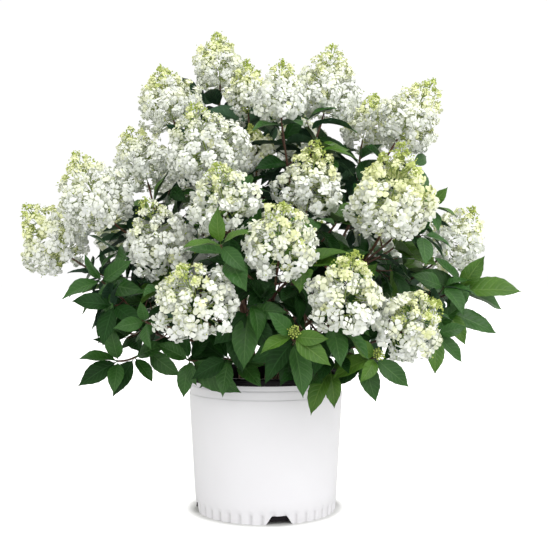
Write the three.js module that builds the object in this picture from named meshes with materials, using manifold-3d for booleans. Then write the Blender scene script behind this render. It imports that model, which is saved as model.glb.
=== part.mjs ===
// A panicle hydrangea in its nursery pot, in millimetres, +Z up.
// The origin is the centre of the pot's underside, and the plant's front faces -Y.
// A place is given by its azimuth (0 at the front, 90 to the right), its reach from the axis and its height.
import * as THREE from 'three';
import { mergeVertices } from 'three/addons/utils/BufferGeometryUtils.js';
import Module from 'manifold-3d';

const wasm = await Module();
wasm.setup();

// The pot: a tapered wall under a short neck, with a rolled lip and drain notches round the foot.
const potHeight = 228;
const footRadius = 116.5;
const shoulderRadius = 128;
const shoulderHeight = 194;
const neckRadius = 125.5;
const neckHeight = 207;
const lipRadius = 140;
const lipDepth = 11;
const edgeRound = 3;
const potWall = 2.5;
const potFloor = 3;
const potSides = 32;
const notch = { count: 4, azimuth: 11, widthBelow: 42, widthAbove: 24, height: 13, depth: 22 };

// The potting mix fills the pot to just below its lip. What rests on or against something stays a seat clear.
const mixTop = 204;
const mixGap = 0.4;
const seat = 0.35;

// The canes rise from the mix: a ring of them, and one in the middle.
const ringCanes = 6;
const firstCaneAzimuth = 28;
const ringCane = { footReach: 36, topReach: 66, topHeight: 304, sway: 1 };
const middleCane = { footReach: 6, topReach: 10, topHeight: 345, sway: 0 };
const caneSway = { azimuth: 5, footReach: 4, topReach: 6, topHeight: 12 };
const caneRadii = [4.9, 3.6];
const rootFlare = 1.35;

// The boughs leave the canes one below the other and end where they enter a spray.
const boughRadii = [3.3, 2.4];
const boughShare = 0.46;
const boughArch = 0.14;
const firstBough = 0.98;
const boughStep = 0.13;
const aboveThePot = 120;

// Each spray is this year's growth: a stem from its bough's tip, and shoots that fork from the stem.
const shootRadii = [3, 2.2];
const shootStep = 45;
const curvePull = 0.3;
const firstFork = 0.1;
const forkStep = 0.16;
const stemInBloom = 0.3;

// The leaves stand in whorls, and hang more the lower they are.
const petiole = 7;
const leafLength = 72;
const leafWidth = 44;
const leafThickness = 1.8;
const leafWidest = 0.46;
const leafDroop = 0.1;
const whorlSpacing = 29;
const firstWhorl = 9;
const lastWhorl = 16;
const youngWhorl = { count: 4, rise: 0.75, hang: 0.35 };
const grownWhorl = { count: 2, rise: 0.42, hang: 1 };
const hangLow = { height: 250, hang: 0.62 };
const hangHigh = { height: 650, hang: 0.2 };
const turnTries = 3;
const bladeRoom = 6.5;

// A bloom ends its shoot: its centre's azimuth, reach and height, its width and length, its lean outwards.
const bloom = (azimuth, reach, height, across, length, lean) => ({
  azimuth, reach, height, across, length, lean, blooms: true,
});
// A leafy shoot ends in a whorl of young leaves. Whorls that stand out at the front are listed, tip first.
const leafy = (azimuth, reach, height, lean, whorls = []) => ({
  azimuth, reach, height, across: 0, length: 0, lean, blooms: false, whorls,
});

// Each leaf of a listed whorl: its way as the front shows it, in degrees clockwise from upright, its length,
// and how far it leans to the front.
const leftWhorls = [
  [[-104, 62, 0.4], [-30, 46, 0.5], [56, 56, 0.4], [105, 62, 0.3], [157, 58, 0.6]],
  [[-140, 62, 0.1], [-170, 60, 0.3]],
];
const lowLeftWhorls = [
  [[-78, 60, 0.4], [-7, 58, 0.5], [-118, 66, 0.2], [-177, 52, 0.8]],
  [[-149, 64, 0.1], [137, 48, 0.5], [61, 58, 0.4]],
  [[128, 64, 0.4], [70, 54, 0.2]],
];
const innerLeftWhorls = [[[-97, 44, 0.5], [-8, 34, 0.8], [172, 42, 0.7], [80, 44, 0.4]]];
const highFrontWhorls = [[[-11, 50, 0.5], [-88, 52, 0.4], [58, 48, 0.4], [139, 50, 0.5], [-162, 40, 0.8]]];
const budWhorls = [
  [[-110, 50, 0.5], [97, 46, 0.5], [129, 60, 0.4], [-43, 48, 0.5]],
  [[169, 74, 0.3], [-140, 66, 0.2]],
];
const lowRightWhorls = [
  [[-106, 66, 0.3], [-151, 44, 0.8], [-51, 46, 0.5], [132, 60, 0.2], [60, 50, 0.3]],
  [[168, 62, 0.3], [-128, 58, 0.1]],
];
const rightWhorls = [
  [[89, 88, 0.3], [110, 78, -0.1], [27, 62, 0.4], [-29, 68, 0.3], [-74, 80, 0.2], [-146, 46, 0.6]],
  [[8, 56, -0.3], [150, 50, -0.3]],
];
const rightLowerWhorls = [[[160, 56, 0.5], [115, 76, 0.1], [40, 50, 0.1]]];
const rightHangingWhorls = [[[-172, 56, 0.4], [135, 54, 0.0], [75, 44, 0.2]]];
const highRightWhorls = [[[47, 38, 0.3], [-17, 36, 0.4], [105, 46, 0.4], [156, 44, 0.5]]];
const leftRimWhorls = [[[118, 86, 0.3], [-170, 54, 0.3], [160, 40, 0.7], [-60, 54, 0.3]]];
const rightRimWhorls = [[[-147, 68, 0.4], [171, 52, 0.4], [60, 50, 0.3], [-60, 54, 0.3]]];

const sprays = {
  left_edge: [
    bloom(-90, 366, 458, 120, 126, 40), bloom(-112, 290, 482, 98, 106, 36), leafy(-97, 262, 366, 60),
  ],
  left_upper: [
    bloom(-73, 288, 524, 118, 130, 26), bloom(-105, 229, 596, 112, 112, 20), leafy(-88, 190, 500, 40),
  ],
  top_left: [
    bloom(-112, 187, 703, 112, 116, 14), bloom(-148, 165, 784, 92, 108, 8), leafy(-122, 150, 610, 30),
  ],
  centre_left: [
    bloom(-41, 148, 598, 134, 116, 26), bloom(-16, 222, 506, 106, 98, 38), leafy(-22, 130, 470, 40),
  ],
  top_back: [bloom(-155, 76, 716, 80, 104, 6), bloom(-137, 30, 604, 78, 86, 14), leafy(-100, 70, 520, 30)],
  top_middle: [bloom(33, 48, 690, 88, 98, 4), bloom(104, 110, 719, 110, 128, 6), leafy(70, 90, 590, 30)],
  top_right: [
    bloom(123, 220, 670, 94, 106, 20), bloom(97, 256, 669, 110, 134, 32), bloom(115, 235, 560, 96, 104, 40),
  ],
  right_front: [
    bloom(45, 268, 512, 124, 142, 16), leafy(65, 280, 494, 50, highRightWhorls), leafy(60, 230, 430, 50),
  ],
  centre_right: [bloom(39, 116, 541, 108, 116, 14), leafy(48, 150, 470, 40), leafy(12, 120, 430, 40)],
  front_middle: [
    bloom(5, 272, 443, 106, 108, 42), leafy(-12, 284, 428, 62, highFrontWhorls), leafy(16, 200, 400, 60),
  ],
  left_middle: [
    bloom(-49, 216, 450, 106, 120, 24), bloom(-81, 124, 441, 78, 86, 30), leafy(-66, 160, 380, 60),
  ],
  front_left: [
    bloom(-19, 297, 360, 120, 108, 44), leafy(-39, 273, 320, 66, innerLeftWhorls), leafy(-6, 214, 336, 60),
  ],
  front_right: [
    bloom(22, 302, 370, 104, 114, 28), leafy(8, 288, 304, 64, budWhorls), leafy(36, 210, 350, 60),
  ],
  right_low: [
    bloom(46, 300, 322, 106, 106, 58), leafy(37, 266, 268, 76, lowRightWhorls), leafy(62, 220, 330, 66),
  ],
  right_edge: [bloom(86, 318, 456, 108, 106, 32), bloom(104, 296, 398, 88, 92, 46), leafy(80, 230, 400, 50)],
  right_skirt: [
    leafy(79, 321, 364, 78, rightWhorls), leafy(60, 300, 298, 72, rightHangingWhorls),
    leafy(75, 303, 331, 76, rightLowerWhorls),
  ],
  left_skirt: [
    leafy(-61, 285, 378, 60, leftWhorls), leafy(-64, 255, 254, 84, lowLeftWhorls), leafy(-100, 250, 290, 74),
  ],
  rim_front: [
    leafy(-18, 176, 262, 80), leafy(27, 214, 248, 80, rightRimWhorls),
    leafy(-39, 184, 258, 78, leftRimWhorls),
  ],
  back_right: [
    bloom(135, 292, 362, 108, 112, 46), bloom(128, 266, 472, 106, 112, 34), leafy(122, 268, 280, 74),
  ],
  back_middle: [
    bloom(165, 300, 352, 110, 110, 48), bloom(160, 286, 456, 104, 110, 38), leafy(150, 240, 266, 78),
  ],
  back_left: [
    bloom(-165, 292, 370, 106, 112, 46), bloom(-170, 256, 500, 108, 112, 30), leafy(-176, 238, 270, 78),
  ],
  left_back: [
    bloom(-132, 302, 352, 110, 110, 46), bloom(-135, 290, 462, 104, 112, 36), leafy(-144, 250, 272, 76),
  ],
  high_back_right: [
    bloom(150, 230, 562, 106, 112, 28), bloom(160, 172, 650, 100, 108, 16), leafy(140, 150, 500, 50),
  ],
  high_back_left: [
    bloom(-140, 236, 572, 108, 112, 28), bloom(-157, 222, 664, 90, 100, 20), leafy(-160, 150, 500, 50),
  ],
};

const potWhite = new THREE.MeshStandardMaterial({ color: 0xf0eff3, roughness: 0.45, metalness: 0 });
const mixBlack = new THREE.MeshStandardMaterial({ color: 0x241c18, roughness: 1, metalness: 0 });
const caneBrown = new THREE.MeshStandardMaterial({ color: 0x6b4a38, roughness: 0.9, metalness: 0 });
const boughBrown = new THREE.MeshStandardMaterial({ color: 0x70402f, roughness: 0.8, metalness: 0 });
const sprayGreen = new THREE.MeshStandardMaterial({ color: 0x4c7a34, roughness: 0.6, metalness: 0 });

const { degToRad, radToDeg, lerp, mapLinear } = THREE.MathUtils;
const up = new THREE.Vector3(0, 0, 1);

// A repeatable number between 0 and 1 for a pair of seeds, and the same about zero.
const chance = (a, b) => {
  const wave = Math.sin(a * 12.9898 + b * 78.233) * 43758.5453;
  return wave - Math.floor(wave);
};
const sway = (a, b, most) => 2 * most * (chance(a, b) - 0.5);

const place = (azimuth, reach, height) =>
  new THREE.Vector3(reach * Math.sin(degToRad(azimuth)), -reach * Math.cos(degToRad(azimuth)), height);

// A closed three.js geometry as a solid, turned to face outwards.
function solid(geometry) {
  const bare = new THREE.BufferGeometry().setAttribute('position', geometry.getAttribute('position').clone());
  bare.setIndex(geometry.index);
  const merged = mergeVertices(bare, 1e-3);
  const kept = [];
  const corners = merged.index.array;
  for (let i = 0; i < corners.length; i += 3) {
    const [a, b, c] = [corners[i], corners[i + 1], corners[i + 2]];
    if (a !== b && b !== c && c !== a) kept.push(a, b, c);
  }
  const make = (list) =>
    new wasm.Manifold(new wasm.Mesh({
      numProp: 3, vertProperties: merged.attributes.position.array, triVerts: new Uint32Array(list),
    }));
  const made = make(kept);
  return made.volume() > 0 ? made : make(kept.reverse());
}

// The largest body of a solid, without loose scraps and with sealed hollows filled.
const larger = (best, one) => (one.volume() > best.volume() ? one : best);
const mainBody = (made) => made.decompose().reduce(larger);

// Whether a solid still closes once its corners are rounded: one with corners too close together doesn't.
function closes(made, fineness) {
  const { vertProperties, triVerts } = made.getMesh();
  const rounded = (x) => Math.round(x / fineness);
  const corner = (v) => Array.from(vertProperties.subarray(3 * v, 3 * v + 3), rounded).join();
  const edges = new Map();
  for (let i = 0; i < triVerts.length; i++) {
    const ends = [corner(triVerts[i]), corner(triVerts[i % 3 === 2 ? i - 2 : i + 1])];
    const edge = ends.sort().join(' ');
    edges.set(edge, (edges.get(edge) ?? 0) + 1);
  }
  return [...edges.values()].every((uses) => uses === 2);
}

// Pieces fused one by one, with seams shorter than a fiftieth of a millimetre closed up; one whose seam would
// leave a crack is left out.
const fuse = (pieces) =>
  pieces.reduce((whole, piece) => {
    const joined = whole.add(piece).simplify(0.02);
    return closes(joined, 0.001) && closes(joined, 0.0001) ? joined : whole;
  });

function meshOf(made, name, material) {
  const data = made.getMesh();
  const geometry = new THREE.BufferGeometry();
  geometry.setAttribute('position', new THREE.BufferAttribute(new Float32Array(data.vertProperties), 3));
  geometry.setIndex(new THREE.BufferAttribute(new Uint32Array(data.triVerts), 1));
  geometry.computeVertexNormals();
  const mesh = new THREE.Mesh(geometry, material);
  mesh.name = name;
  return mesh;
}

// A tapering limb: a cylinder whose rings are laid along a curve, from one radius to the other.
function limb(curve, radii, sides, steps, { swell = 0, flare = 1 } = {}) {
  const geometry = new THREE.CylinderGeometry(1, 1, 1, sides, steps);
  const frames = curve.computeFrenetFrames(steps, false);
  const position = geometry.getAttribute('position');
  const point = new THREE.Vector3();
  for (let i = 0; i < position.count; i++) {
    const ring = Math.round((position.getY(i) + 0.5) * steps);
    const radius = (lerp(...radii, ring / steps) + swell) * (ring === 0 ? flare : 1);
    curve.getPoint(ring / steps, point);
    point.addScaledVector(frames.normals[ring], position.getX(i) * radius);
    point.addScaledVector(frames.binormals[ring], position.getZ(i) * radius);
    position.setXYZ(i, point.x, point.y, point.z);
  }
  return solid(geometry);
}

// Balls that cover a limb, used to tell what is near it.
function ballsAlong(curve, radii) {
  const count = Math.max(2, Math.ceil(curve.getLength() / 6));
  return Array.from({ length: count + 1 }, (_, i) => ({
    centre: curve.getPoint(i / count), radius: lerp(...radii, i / count),
  }));
}

// The wall's inner radius at a height, from the floor to the inside of the shoulder.
const innerShoulder = shoulderHeight - edgeRound;
const innerRadius = (height) =>
  mapLinear(height, potFloor, innerShoulder, footRadius - potWall, shoulderRadius - potWall - 1.5);

function makePot() {
  const lipFoot = potHeight - lipDepth;
  const outside = [
    [0, 0], [footRadius, 0], [footRadius, edgeRound / 2], [shoulderRadius, shoulderHeight - 2],
    [shoulderRadius - 1, shoulderHeight], [neckRadius + 1.2, neckHeight - 1], [neckRadius, neckHeight + 1],
    [neckRadius, lipFoot], [lipRadius - 1, lipFoot], [lipRadius, lipFoot + edgeRound],
    [lipRadius, potHeight - edgeRound], [lipRadius - edgeRound, potHeight],
  ];
  const inside = [
    [neckRadius + 1.5, potHeight], [neckRadius - potWall, potHeight - 4], [neckRadius - potWall, neckHeight],
    [innerRadius(innerShoulder), innerShoulder], [innerRadius(potFloor), potFloor], [0, potFloor],
  ];
  const profile = [...outside, ...inside].map(([x, y]) => new THREE.Vector2(x, y));
  let pot = solid(new THREE.LatheGeometry(profile, potSides).rotateX(Math.PI / 2));
  const outline = new THREE.Shape([
    new THREE.Vector2(-notch.widthBelow / 2 - 2, -1.2), new THREE.Vector2(notch.widthBelow / 2 + 2, -1.2),
    new THREE.Vector2(notch.widthAbove / 2, notch.height),
    new THREE.Vector2(-notch.widthAbove / 2, notch.height),
  ]);
  for (let i = 0; i < notch.count; i++) {
    const cutter = new THREE.ExtrudeGeometry(outline, { depth: notch.depth, bevelEnabled: false });
    cutter.rotateX(Math.PI / 2);
    cutter.translate(0, notch.depth - footRadius - 6, 0);
    cutter.rotateZ(degToRad(notch.azimuth + (360 / notch.count) * i));
    pot = pot.subtract(solid(cutter));
  }
  return mainBody(pot);
}

function makeMix() {
  const below = potFloor + mixGap;
  const crownEdge = neckRadius - potWall - 3;
  const shoulder = shoulderHeight - 8;
  const profile = [
    [0, below], [innerRadius(potFloor) - mixGap - 1, below], [innerRadius(shoulder) - mixGap, shoulder],
    [crownEdge, mixTop - 3], [crownEdge - 9, mixTop], [0, mixTop],
  ].map(([x, y]) => new THREE.Vector2(x, y));
  return solid(new THREE.LatheGeometry(profile, potSides).rotateX(Math.PI / 2));
}

// The canes: where each stands, and the curve it follows.
function layCanes() {
  return Array.from({ length: ringCanes + 1 }, (_, i) => {
    const { footReach, topReach, topHeight, sway: amount } = i < ringCanes ? ringCane : middleCane;
    const azimuth = firstCaneAzimuth + (360 / ringCanes) * i + sway(i, 1, caneSway.azimuth);
    const footAt = footReach + amount * sway(i, 2, caneSway.footReach);
    const topAt = topReach + amount * sway(i, 3, caneSway.topReach);
    const foot = place(azimuth, footAt, mixTop + seat);
    const top = place(azimuth, topAt, topHeight + amount * sway(i, 4, caneSway.topHeight));
    const bend = place(azimuth + sway(i, 5, caneSway.azimuth), footAt + 4, (foot.z + top.z) / 2);
    return { azimuth, curve: new THREE.QuadraticBezierCurve3(foot, bend, top), boughs: 0 };
  });
}

// A cane leans at its foot, so the cut at the mix is trimmed level.
const caneSolid = (cane, swell) =>
  limb(cane.curve, caneRadii, 6, 3, { swell, flare: rootFlare }).trimByPlane([0, 0, 1], mixTop + seat);

// Where a shoot ends and the way it points there; a bloom's stem runs on into it.
function shootEnd(shoot) {
  const lean = degToRad(shoot.lean);
  const axis = place(shoot.azimuth, Math.sin(lean), Math.cos(lean));
  const centre = place(shoot.azimuth, shoot.reach, shoot.height);
  const within = shoot.length * stemInBloom;
  return { axis, centre, within, tip: centre.clone().addScaledVector(axis, within - shoot.length / 2) };
}

// The nearest cane on a spray's side, or the middle one for a spray above the pot.
function caneFor(canes, spray) {
  if (Math.hypot(spray.x, spray.y) < aboveThePot) return canes[ringCanes];
  const azimuth = radToDeg(Math.atan2(spray.x, -spray.y));
  const turn = (cane) => Math.abs(((cane.azimuth - azimuth + 540) % 360) - 180);
  return canes.slice(0, ringCanes).reduce((best, one) => (turn(one) < turn(best) ? one : best));
}

// A spray's layout: its bough, the stem that grows on from the bough's tip, and the shoots that fork from it.
function laySpray(canes, name, shoots, index) {
  const ends = shoots.map(shootEnd);
  const middle = ends.reduce((sum, end) => sum.add(end.tip), new THREE.Vector3()).divideScalar(ends.length);
  const cane = caneFor(canes, middle);
  const from = cane.curve.getPoint(firstBough - boughStep * cane.boughs);
  cane.boughs += 1;
  const to = from.clone().lerp(middle, boughShare);
  const arch = from.clone().lerp(to, 0.5).addScaledVector(up, boughArch * to.distanceTo(from));
  const bough = new THREE.QuadraticBezierCurve3(from, arch, to);
  const grow = (i, foot, heading) => {
    const { axis, tip } = ends[i];
    const pull = tip.distanceTo(foot) * curvePull;
    const bend = [foot.clone().addScaledVector(heading, pull), tip.clone().addScaledVector(axis, -pull)];
    const curve = new THREE.CubicBezierCurve3(foot, ...bend, tip);
    return { ...shoots[i], ...ends[i], curve, seed: index * 10 + i + 1 };
  };
  const heading = bough.getTangent(1);
  const stem = grow(0, to.clone().addScaledVector(heading, seat), heading);
  const forks = shoots.slice(1).map((_, k) => {
    const share = firstFork + forkStep * k;
    const fork = stem.curve.getPoint(share);
    const towards = ends[k + 1].tip.clone().sub(fork).normalize();
    return grow(k + 1, fork, stem.curve.getTangent(share).lerp(towards, 0.5).normalize());
  });
  return { name, cane, bough, shoots: [stem, ...forks] };
}

// A bloom's outline from base (0) to tip (1), as a share of its greatest radius: round below, tapered above.
const bloomOutline = (share) => {
  const widest = 0.36;
  const below = share < widest;
  const off = below ? (widest - share) / (widest + 0.03) : (share - widest) / (1 - widest);
  return (1 - off ** 2) ** (below ? 0.5 : 0.8);
};

// The side branches inside a bloom swell it into soft lumps.
const bloomLump = (turn, share, seed) =>
  1 + 0.07 * Math.sin(3 * turn + 7 * share + seed) + 0.05 * Math.sin(5 * turn - 9 * share + 2 * seed);

function makeBloom(shoot) {
  const rings = 5;
  const sides = 8;
  const outline = Array.from({ length: rings + 1 }, (_, i) => {
    const radius = i === 0 || i === rings ? 0 : (bloomOutline(i / rings) * shoot.across) / 2;
    return new THREE.Vector2(radius, (i / rings - 0.5) * shoot.length);
  });
  const body = new THREE.LatheGeometry(outline, sides).rotateX(Math.PI / 2);
  const position = body.getAttribute('position');
  for (let i = 0; i < position.count; i++) {
    const [x, y, z] = [position.getX(i), position.getY(i), position.getZ(i)];
    const lump = bloomLump(Math.atan2(y, x), z / shoot.length + 0.5, shoot.seed);
    position.setXYZ(i, x * lump, y * lump, z);
  }
  body.applyQuaternion(new THREE.Quaternion().setFromUnitVectors(up, shoot.axis));
  body.translate(shoot.centre.x, shoot.centre.y, shoot.centre.z);
  return solid(body);
}

// Balls that cover a bloom.
const bloomBalls = (shoot) =>
  [0.3, 0.5, 0.7, 0.88].map((share) => ({
    centre: shoot.centre.clone().addScaledVector(shoot.axis, (share - 0.5) * shoot.length),
    radius: 0.52 * bloomOutline(share) * shoot.across,
    ofBloom: true,
  }));

// A leaf's aim from the way that the front shows.
const frontAim = (way, lean) =>
  new THREE.Vector3(Math.sin(degToRad(way)), -lean, Math.cos(degToRad(way))).normalize();

// The leaves that a shoot offers: whorls of two or three, turned from one whorl to the next, each leaf with
// the ways that it may turn to find room; a leafy shoot's last whorl stands out level. Listed whorls grow first.
function leavesOf(shoot) {
  const total = shoot.curve.getLength();
  const first = shoot.blooms ? shoot.within + firstWhorl : 1;
  const whorls = Math.floor((total - lastWhorl - first) / whorlSpacing) + 1;
  const leaves = [];
  for (let whorl = 0; whorl < whorls; whorl++) {
    const { count: fewest, rise, hang: share } = shoot.blooms || whorl > 0 ? grownWhorl : youngWhorl;
    const count = fewest === grownWhorl.count ? fewest + ((whorl + shoot.seed) % 2) : fewest;
    const t = shoot.curve.getUtoTmapping(1 - (first + whorl * whorlSpacing) / total);
    const at = shoot.curve.getPoint(t);
    const along = shoot.curve.getTangent(t);
    const side = new THREE.Vector3().crossVectors(along, up).normalize();
    const other = new THREE.Vector3().crossVectors(side, along).normalize();
    const listed = shoot.whorls?.[whorl];
    if (listed) {
      leaves.push(...listed.map(([way, length, lean], k) => ({
        shoot, at, aims: [frontAim(way, lean)], seed: shoot.seed * 7 + whorl * 3 + k, whorl: -1, toFront: 0.8,
        size: (length - petiole) / leafLength,
      })));
      continue;
    }
    const height = Math.min(at.z, hangHigh.height);
    const low = mapLinear(height, hangLow.height, hangHigh.height, hangLow.hang, hangHigh.hang);
    for (let k = 0; k < count; k++) {
      const seed = shoot.seed * 7 + whorl * 3 + k;
      const aims = Array.from({ length: turnTries }, (_, i) => {
        const turn = (2 * Math.PI * (k + 0.5 * whorl)) / count + sway(seed, 6 + 4 * i, 0.4) + shoot.seed + i;
        const hang = (low + 0.3 * chance(seed, 7 + 4 * i)) * share;
        const aim = side.clone().multiplyScalar(Math.cos(turn)).addScaledVector(other, Math.sin(turn));
        return aim.addScaledVector(along, rise).addScaledVector(up, -hang).normalize();
      });
      leaves.push({ shoot, at, aims, seed, whorl, toFront: 0.15, size: 1.01 + sway(seed, 8, 0.13) });
    }
  }
  return leaves;
}

// A point of a leaf, from its share of the length, its share of the half width and its height over the blade.
// The blade faces the light: upwards, outwards, a share of it to the front, and a little to one side.
function onLeaf(leaf, share, sideways, high) {
  const light = new THREE.Vector3(leaf.at.x, leaf.at.y, 0).normalize().multiplyScalar(0.75).add(up);
  light.y -= leaf.toFront;
  const across = new THREE.Vector3().crossVectors(leaf.aim, light).normalize();
  across.applyAxisAngle(leaf.aim, sway(leaf.seed, 9, 0.65));
  const face = new THREE.Vector3().crossVectors(across, leaf.aim).normalize();
  const long = petiole + leafLength * leaf.size;
  const wide = share < leafWidest ? share / leafWidest : (1 - share) / (1 - leafWidest);
  const droop = leafDroop * long * Math.max(0, (share - leafWidest) / (1 - leafWidest));
  return leaf.at.clone()
    .addScaledVector(leaf.aim, share * long)
    .addScaledVector(across, sideways * (leafWidth / 2) * leaf.size * wide)
    .addScaledVector(face, high - droop);
}

// A blade with a root, a tip, two side corners and a ridge between them: six faces.
function makeLeaf(leaf) {
  const blade = new THREE.BufferGeometry().setFromPoints([
    onLeaf(leaf, 0, 0, 0),
    onLeaf(leaf, leafWidest, 1, 0),
    onLeaf(leaf, leafWidest, -1, 0),
    onLeaf(leaf, 1, 0, 0),
    onLeaf(leaf, leafWidest, 0, leafThickness),
  ]);
  blade.setIndex([0, 2, 1, 3, 1, 2, 0, 1, 4, 1, 3, 4, 3, 2, 4, 2, 0, 4]);
  return solid(blade);
}

// Balls that cover a leaf's blade beyond its root: three abreast, and one at the tip.
const bladeBalls = (leaf) =>
  [0.24, 0.42, 0.58, 0.74, 0.92].flatMap((share) =>
    (share < 0.9 ? [-0.6, 0, 0.6] : [0]).map((sideways) => ({
      centre: onLeaf(leaf, share, sideways, 0), radius: bladeRoom, share, shoot: leaf.shoot,
    })));

// A spray keeps to its own space: a leaf is left out where it would meet the pot, a limb, a shoot, a bloom or
// a leaf that has grown before it. Only its root may be near its own shoot.
function fits(leaf, taken) {
  return bladeBalls(leaf).every(({ centre, radius, share }) => {
    if (centre.z < potHeight + radius && Math.hypot(centre.x, centre.y) < lipRadius + radius) return false;
    return taken.every((ball) => {
      const own = ball.shoot === leaf.shoot;
      if (own && !ball.ofBloom && share < 0.5) return true;
      return ball.centre.distanceTo(centre) > ball.radius + (own && ball.ofBloom ? -2 : radius);
    });
  });
}

// Leaves grow whorl by whorl over the whole plant, so no side of the crown is favoured.
function growLeaves(layouts, limbBalls) {
  const shoots = layouts.flatMap((spray) => spray.shoots);
  const taken = [...limbBalls];
  for (const shoot of shoots) {
    const balls = [...ballsAlong(shoot.curve, shootRadii), ...(shoot.blooms ? bloomBalls(shoot) : [])];
    taken.push(...balls.map((ball) => ({ ...ball, shoot })));
  }
  const offered = shoots.flatMap(leavesOf).sort((a, b) => a.whorl - b.whorl);
  return offered.flatMap((leaf) => {
    const kept = leaf.aims.map((aim) => ({ ...leaf, aim })).find((turned) => fits(turned, taken));
    if (!kept) return [];
    taken.push(...bladeBalls(kept));
    return [kept];
  });
}

function makeSpray(spray, leaves) {
  const pieces = spray.shoots.flatMap((shoot) => {
    const steps = Math.max(2, Math.round(shoot.curve.getLength() / shootStep));
    const blades = leaves.filter((leaf) => leaf.shoot === shoot).map(makeLeaf);
    return [limb(shoot.curve, shootRadii, 3, steps), ...blades, ...(shoot.blooms ? [makeBloom(shoot)] : [])];
  });
  return mainBody(fuse(pieces));
}

const plant = new THREE.Group();
plant.add(meshOf(makePot(), 'nursery_pot', potWhite));
plant.add(meshOf(makeMix(), 'potting_mix', mixBlack));

const canes = layCanes();
canes.forEach((cane, i) => {
  plant.add(meshOf(caneSolid(cane, 0), 'cane_' + (i + 1), caneBrown));
});

// Each bough is cut back clear of the canes and of the boughs before it.
const layouts = Object.entries(sprays).map(([name, shoots], index) => laySpray(canes, name, shoots, index));
const keepOff = canes.map((cane) => caneSolid(cane, seat));
for (const { name, bough } of layouts) {
  const made = keepOff.reduce((rest, other) => rest.subtract(other), limb(bough, boughRadii, 5, 3));
  keepOff.push(limb(bough, boughRadii, 5, 3, { swell: seat }));
  plant.add(meshOf(mainBody(made), 'bough_' + name, boughBrown));
}

const limbBalls = [
  ...canes.flatMap((cane) => ballsAlong(cane.curve, caneRadii)),
  ...layouts.flatMap((spray) => ballsAlong(spray.bough, boughRadii)),
];
const leaves = growLeaves(layouts, limbBalls);
for (const spray of layouts) {
  plant.add(meshOf(makeSpray(spray, leaves), 'spray_' + spray.name, sprayGreen));
}

export default plant;
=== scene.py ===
# A panicle hydrangea in its nursery pot: bark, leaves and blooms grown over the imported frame.
# Sizes are in millimetres up to the point where a mesh is made; the front of the plant faces -Y.
import bmesh
import bpy
import math
import numpy as np
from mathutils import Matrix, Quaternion, Vector


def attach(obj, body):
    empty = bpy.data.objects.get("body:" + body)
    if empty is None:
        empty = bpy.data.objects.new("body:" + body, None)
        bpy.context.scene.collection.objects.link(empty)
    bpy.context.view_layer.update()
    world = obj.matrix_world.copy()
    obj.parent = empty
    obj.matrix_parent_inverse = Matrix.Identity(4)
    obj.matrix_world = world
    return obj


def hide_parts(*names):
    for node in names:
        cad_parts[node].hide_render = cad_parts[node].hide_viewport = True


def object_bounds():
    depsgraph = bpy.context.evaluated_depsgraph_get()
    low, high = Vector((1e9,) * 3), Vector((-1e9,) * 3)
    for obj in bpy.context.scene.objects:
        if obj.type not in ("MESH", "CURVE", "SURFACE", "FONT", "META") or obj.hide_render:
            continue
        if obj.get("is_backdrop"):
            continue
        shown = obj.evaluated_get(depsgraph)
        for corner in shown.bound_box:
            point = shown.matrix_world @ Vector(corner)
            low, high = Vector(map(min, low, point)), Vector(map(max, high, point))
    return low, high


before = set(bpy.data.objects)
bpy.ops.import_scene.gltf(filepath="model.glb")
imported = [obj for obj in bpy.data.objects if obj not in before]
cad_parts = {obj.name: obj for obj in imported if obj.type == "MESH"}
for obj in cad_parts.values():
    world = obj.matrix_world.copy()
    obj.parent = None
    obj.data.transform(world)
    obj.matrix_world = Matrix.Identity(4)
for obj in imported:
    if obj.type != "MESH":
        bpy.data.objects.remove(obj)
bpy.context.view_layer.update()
print("frame loaded:", len(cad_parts), "nodes")

mm = 0.001
up = Vector((0, 0, 1))
scene = bpy.context.scene

# Camera
camera = {"place": (0.0138, -1.5, 0.38), "lens": 57.4, "sensor": 36.0, "clip": (0.05, 200)}

shot = bpy.data.objects.new("camera", bpy.data.cameras.new("camera"))
shot.data.lens = camera["lens"]
shot.data.sensor_width = camera["sensor"]
shot.data.clip_start, shot.data.clip_end = camera["clip"]
shot.location = camera["place"]
shot.rotation_euler = (math.pi / 2, 0, 0)
scene.collection.objects.link(shot)
scene.camera = shot


# Helpers for node trees: an input takes a link, a number or a colour.
def feed(node, inputs):
    for key, value in inputs.items():
        socket = node.inputs[key]
        if isinstance(value, bpy.types.NodeSocket):
            node.id_data.links.new(value, socket)
        else:
            socket.default_value = (*value, 1) if socket.type == "RGBA" else value


def addNode(tree, kind, inputs=None, **settings):
    made = tree.nodes.new(kind)
    for key, value in settings.items():
        setattr(made, key, value)
    feed(made, inputs or {})
    return made


socketKinds = {bool: "Bool", int: "Int", float: "Float"}


# An input of a group is given by its default, or by its kind where it has none.
def newGroup(name, kind, inputs, outputs):
    tree = bpy.data.node_groups.new(name, kind)
    for label, value in inputs.items():
        socket = value if isinstance(value, str) else socketKinds[type(value)]
        made = tree.interface.new_socket(label, in_out="INPUT", socket_type="NodeSocket" + socket)
        if socket != value:
            made.default_value = value
    for label in outputs:
        socket = "Geometry" if label == "Geometry" else "Float"
        tree.interface.new_socket(label, in_out="OUTPUT", socket_type="NodeSocket" + socket)
    return tree, tree.nodes.new("NodeGroupInput").outputs, tree.nodes.new("NodeGroupOutput")


def mixed(share, first, second):
    made = addNode(share.id_data, "ShaderNodeMix", data_type="RGBA")
    ends = [i for i, socket in enumerate(made.inputs) if socket.enabled]
    feed(made, dict(zip(ends, (share, first, second))))
    return next(socket for socket in made.outputs if socket.enabled)


def maths(operation, *values, clamp=False):
    tree = next(value for value in values if isinstance(value, bpy.types.NodeSocket)).id_data
    made = addNode(tree, "ShaderNodeMath", dict(enumerate(values)), operation=operation, use_clamp=clamp)
    return made.outputs[0]


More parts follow.
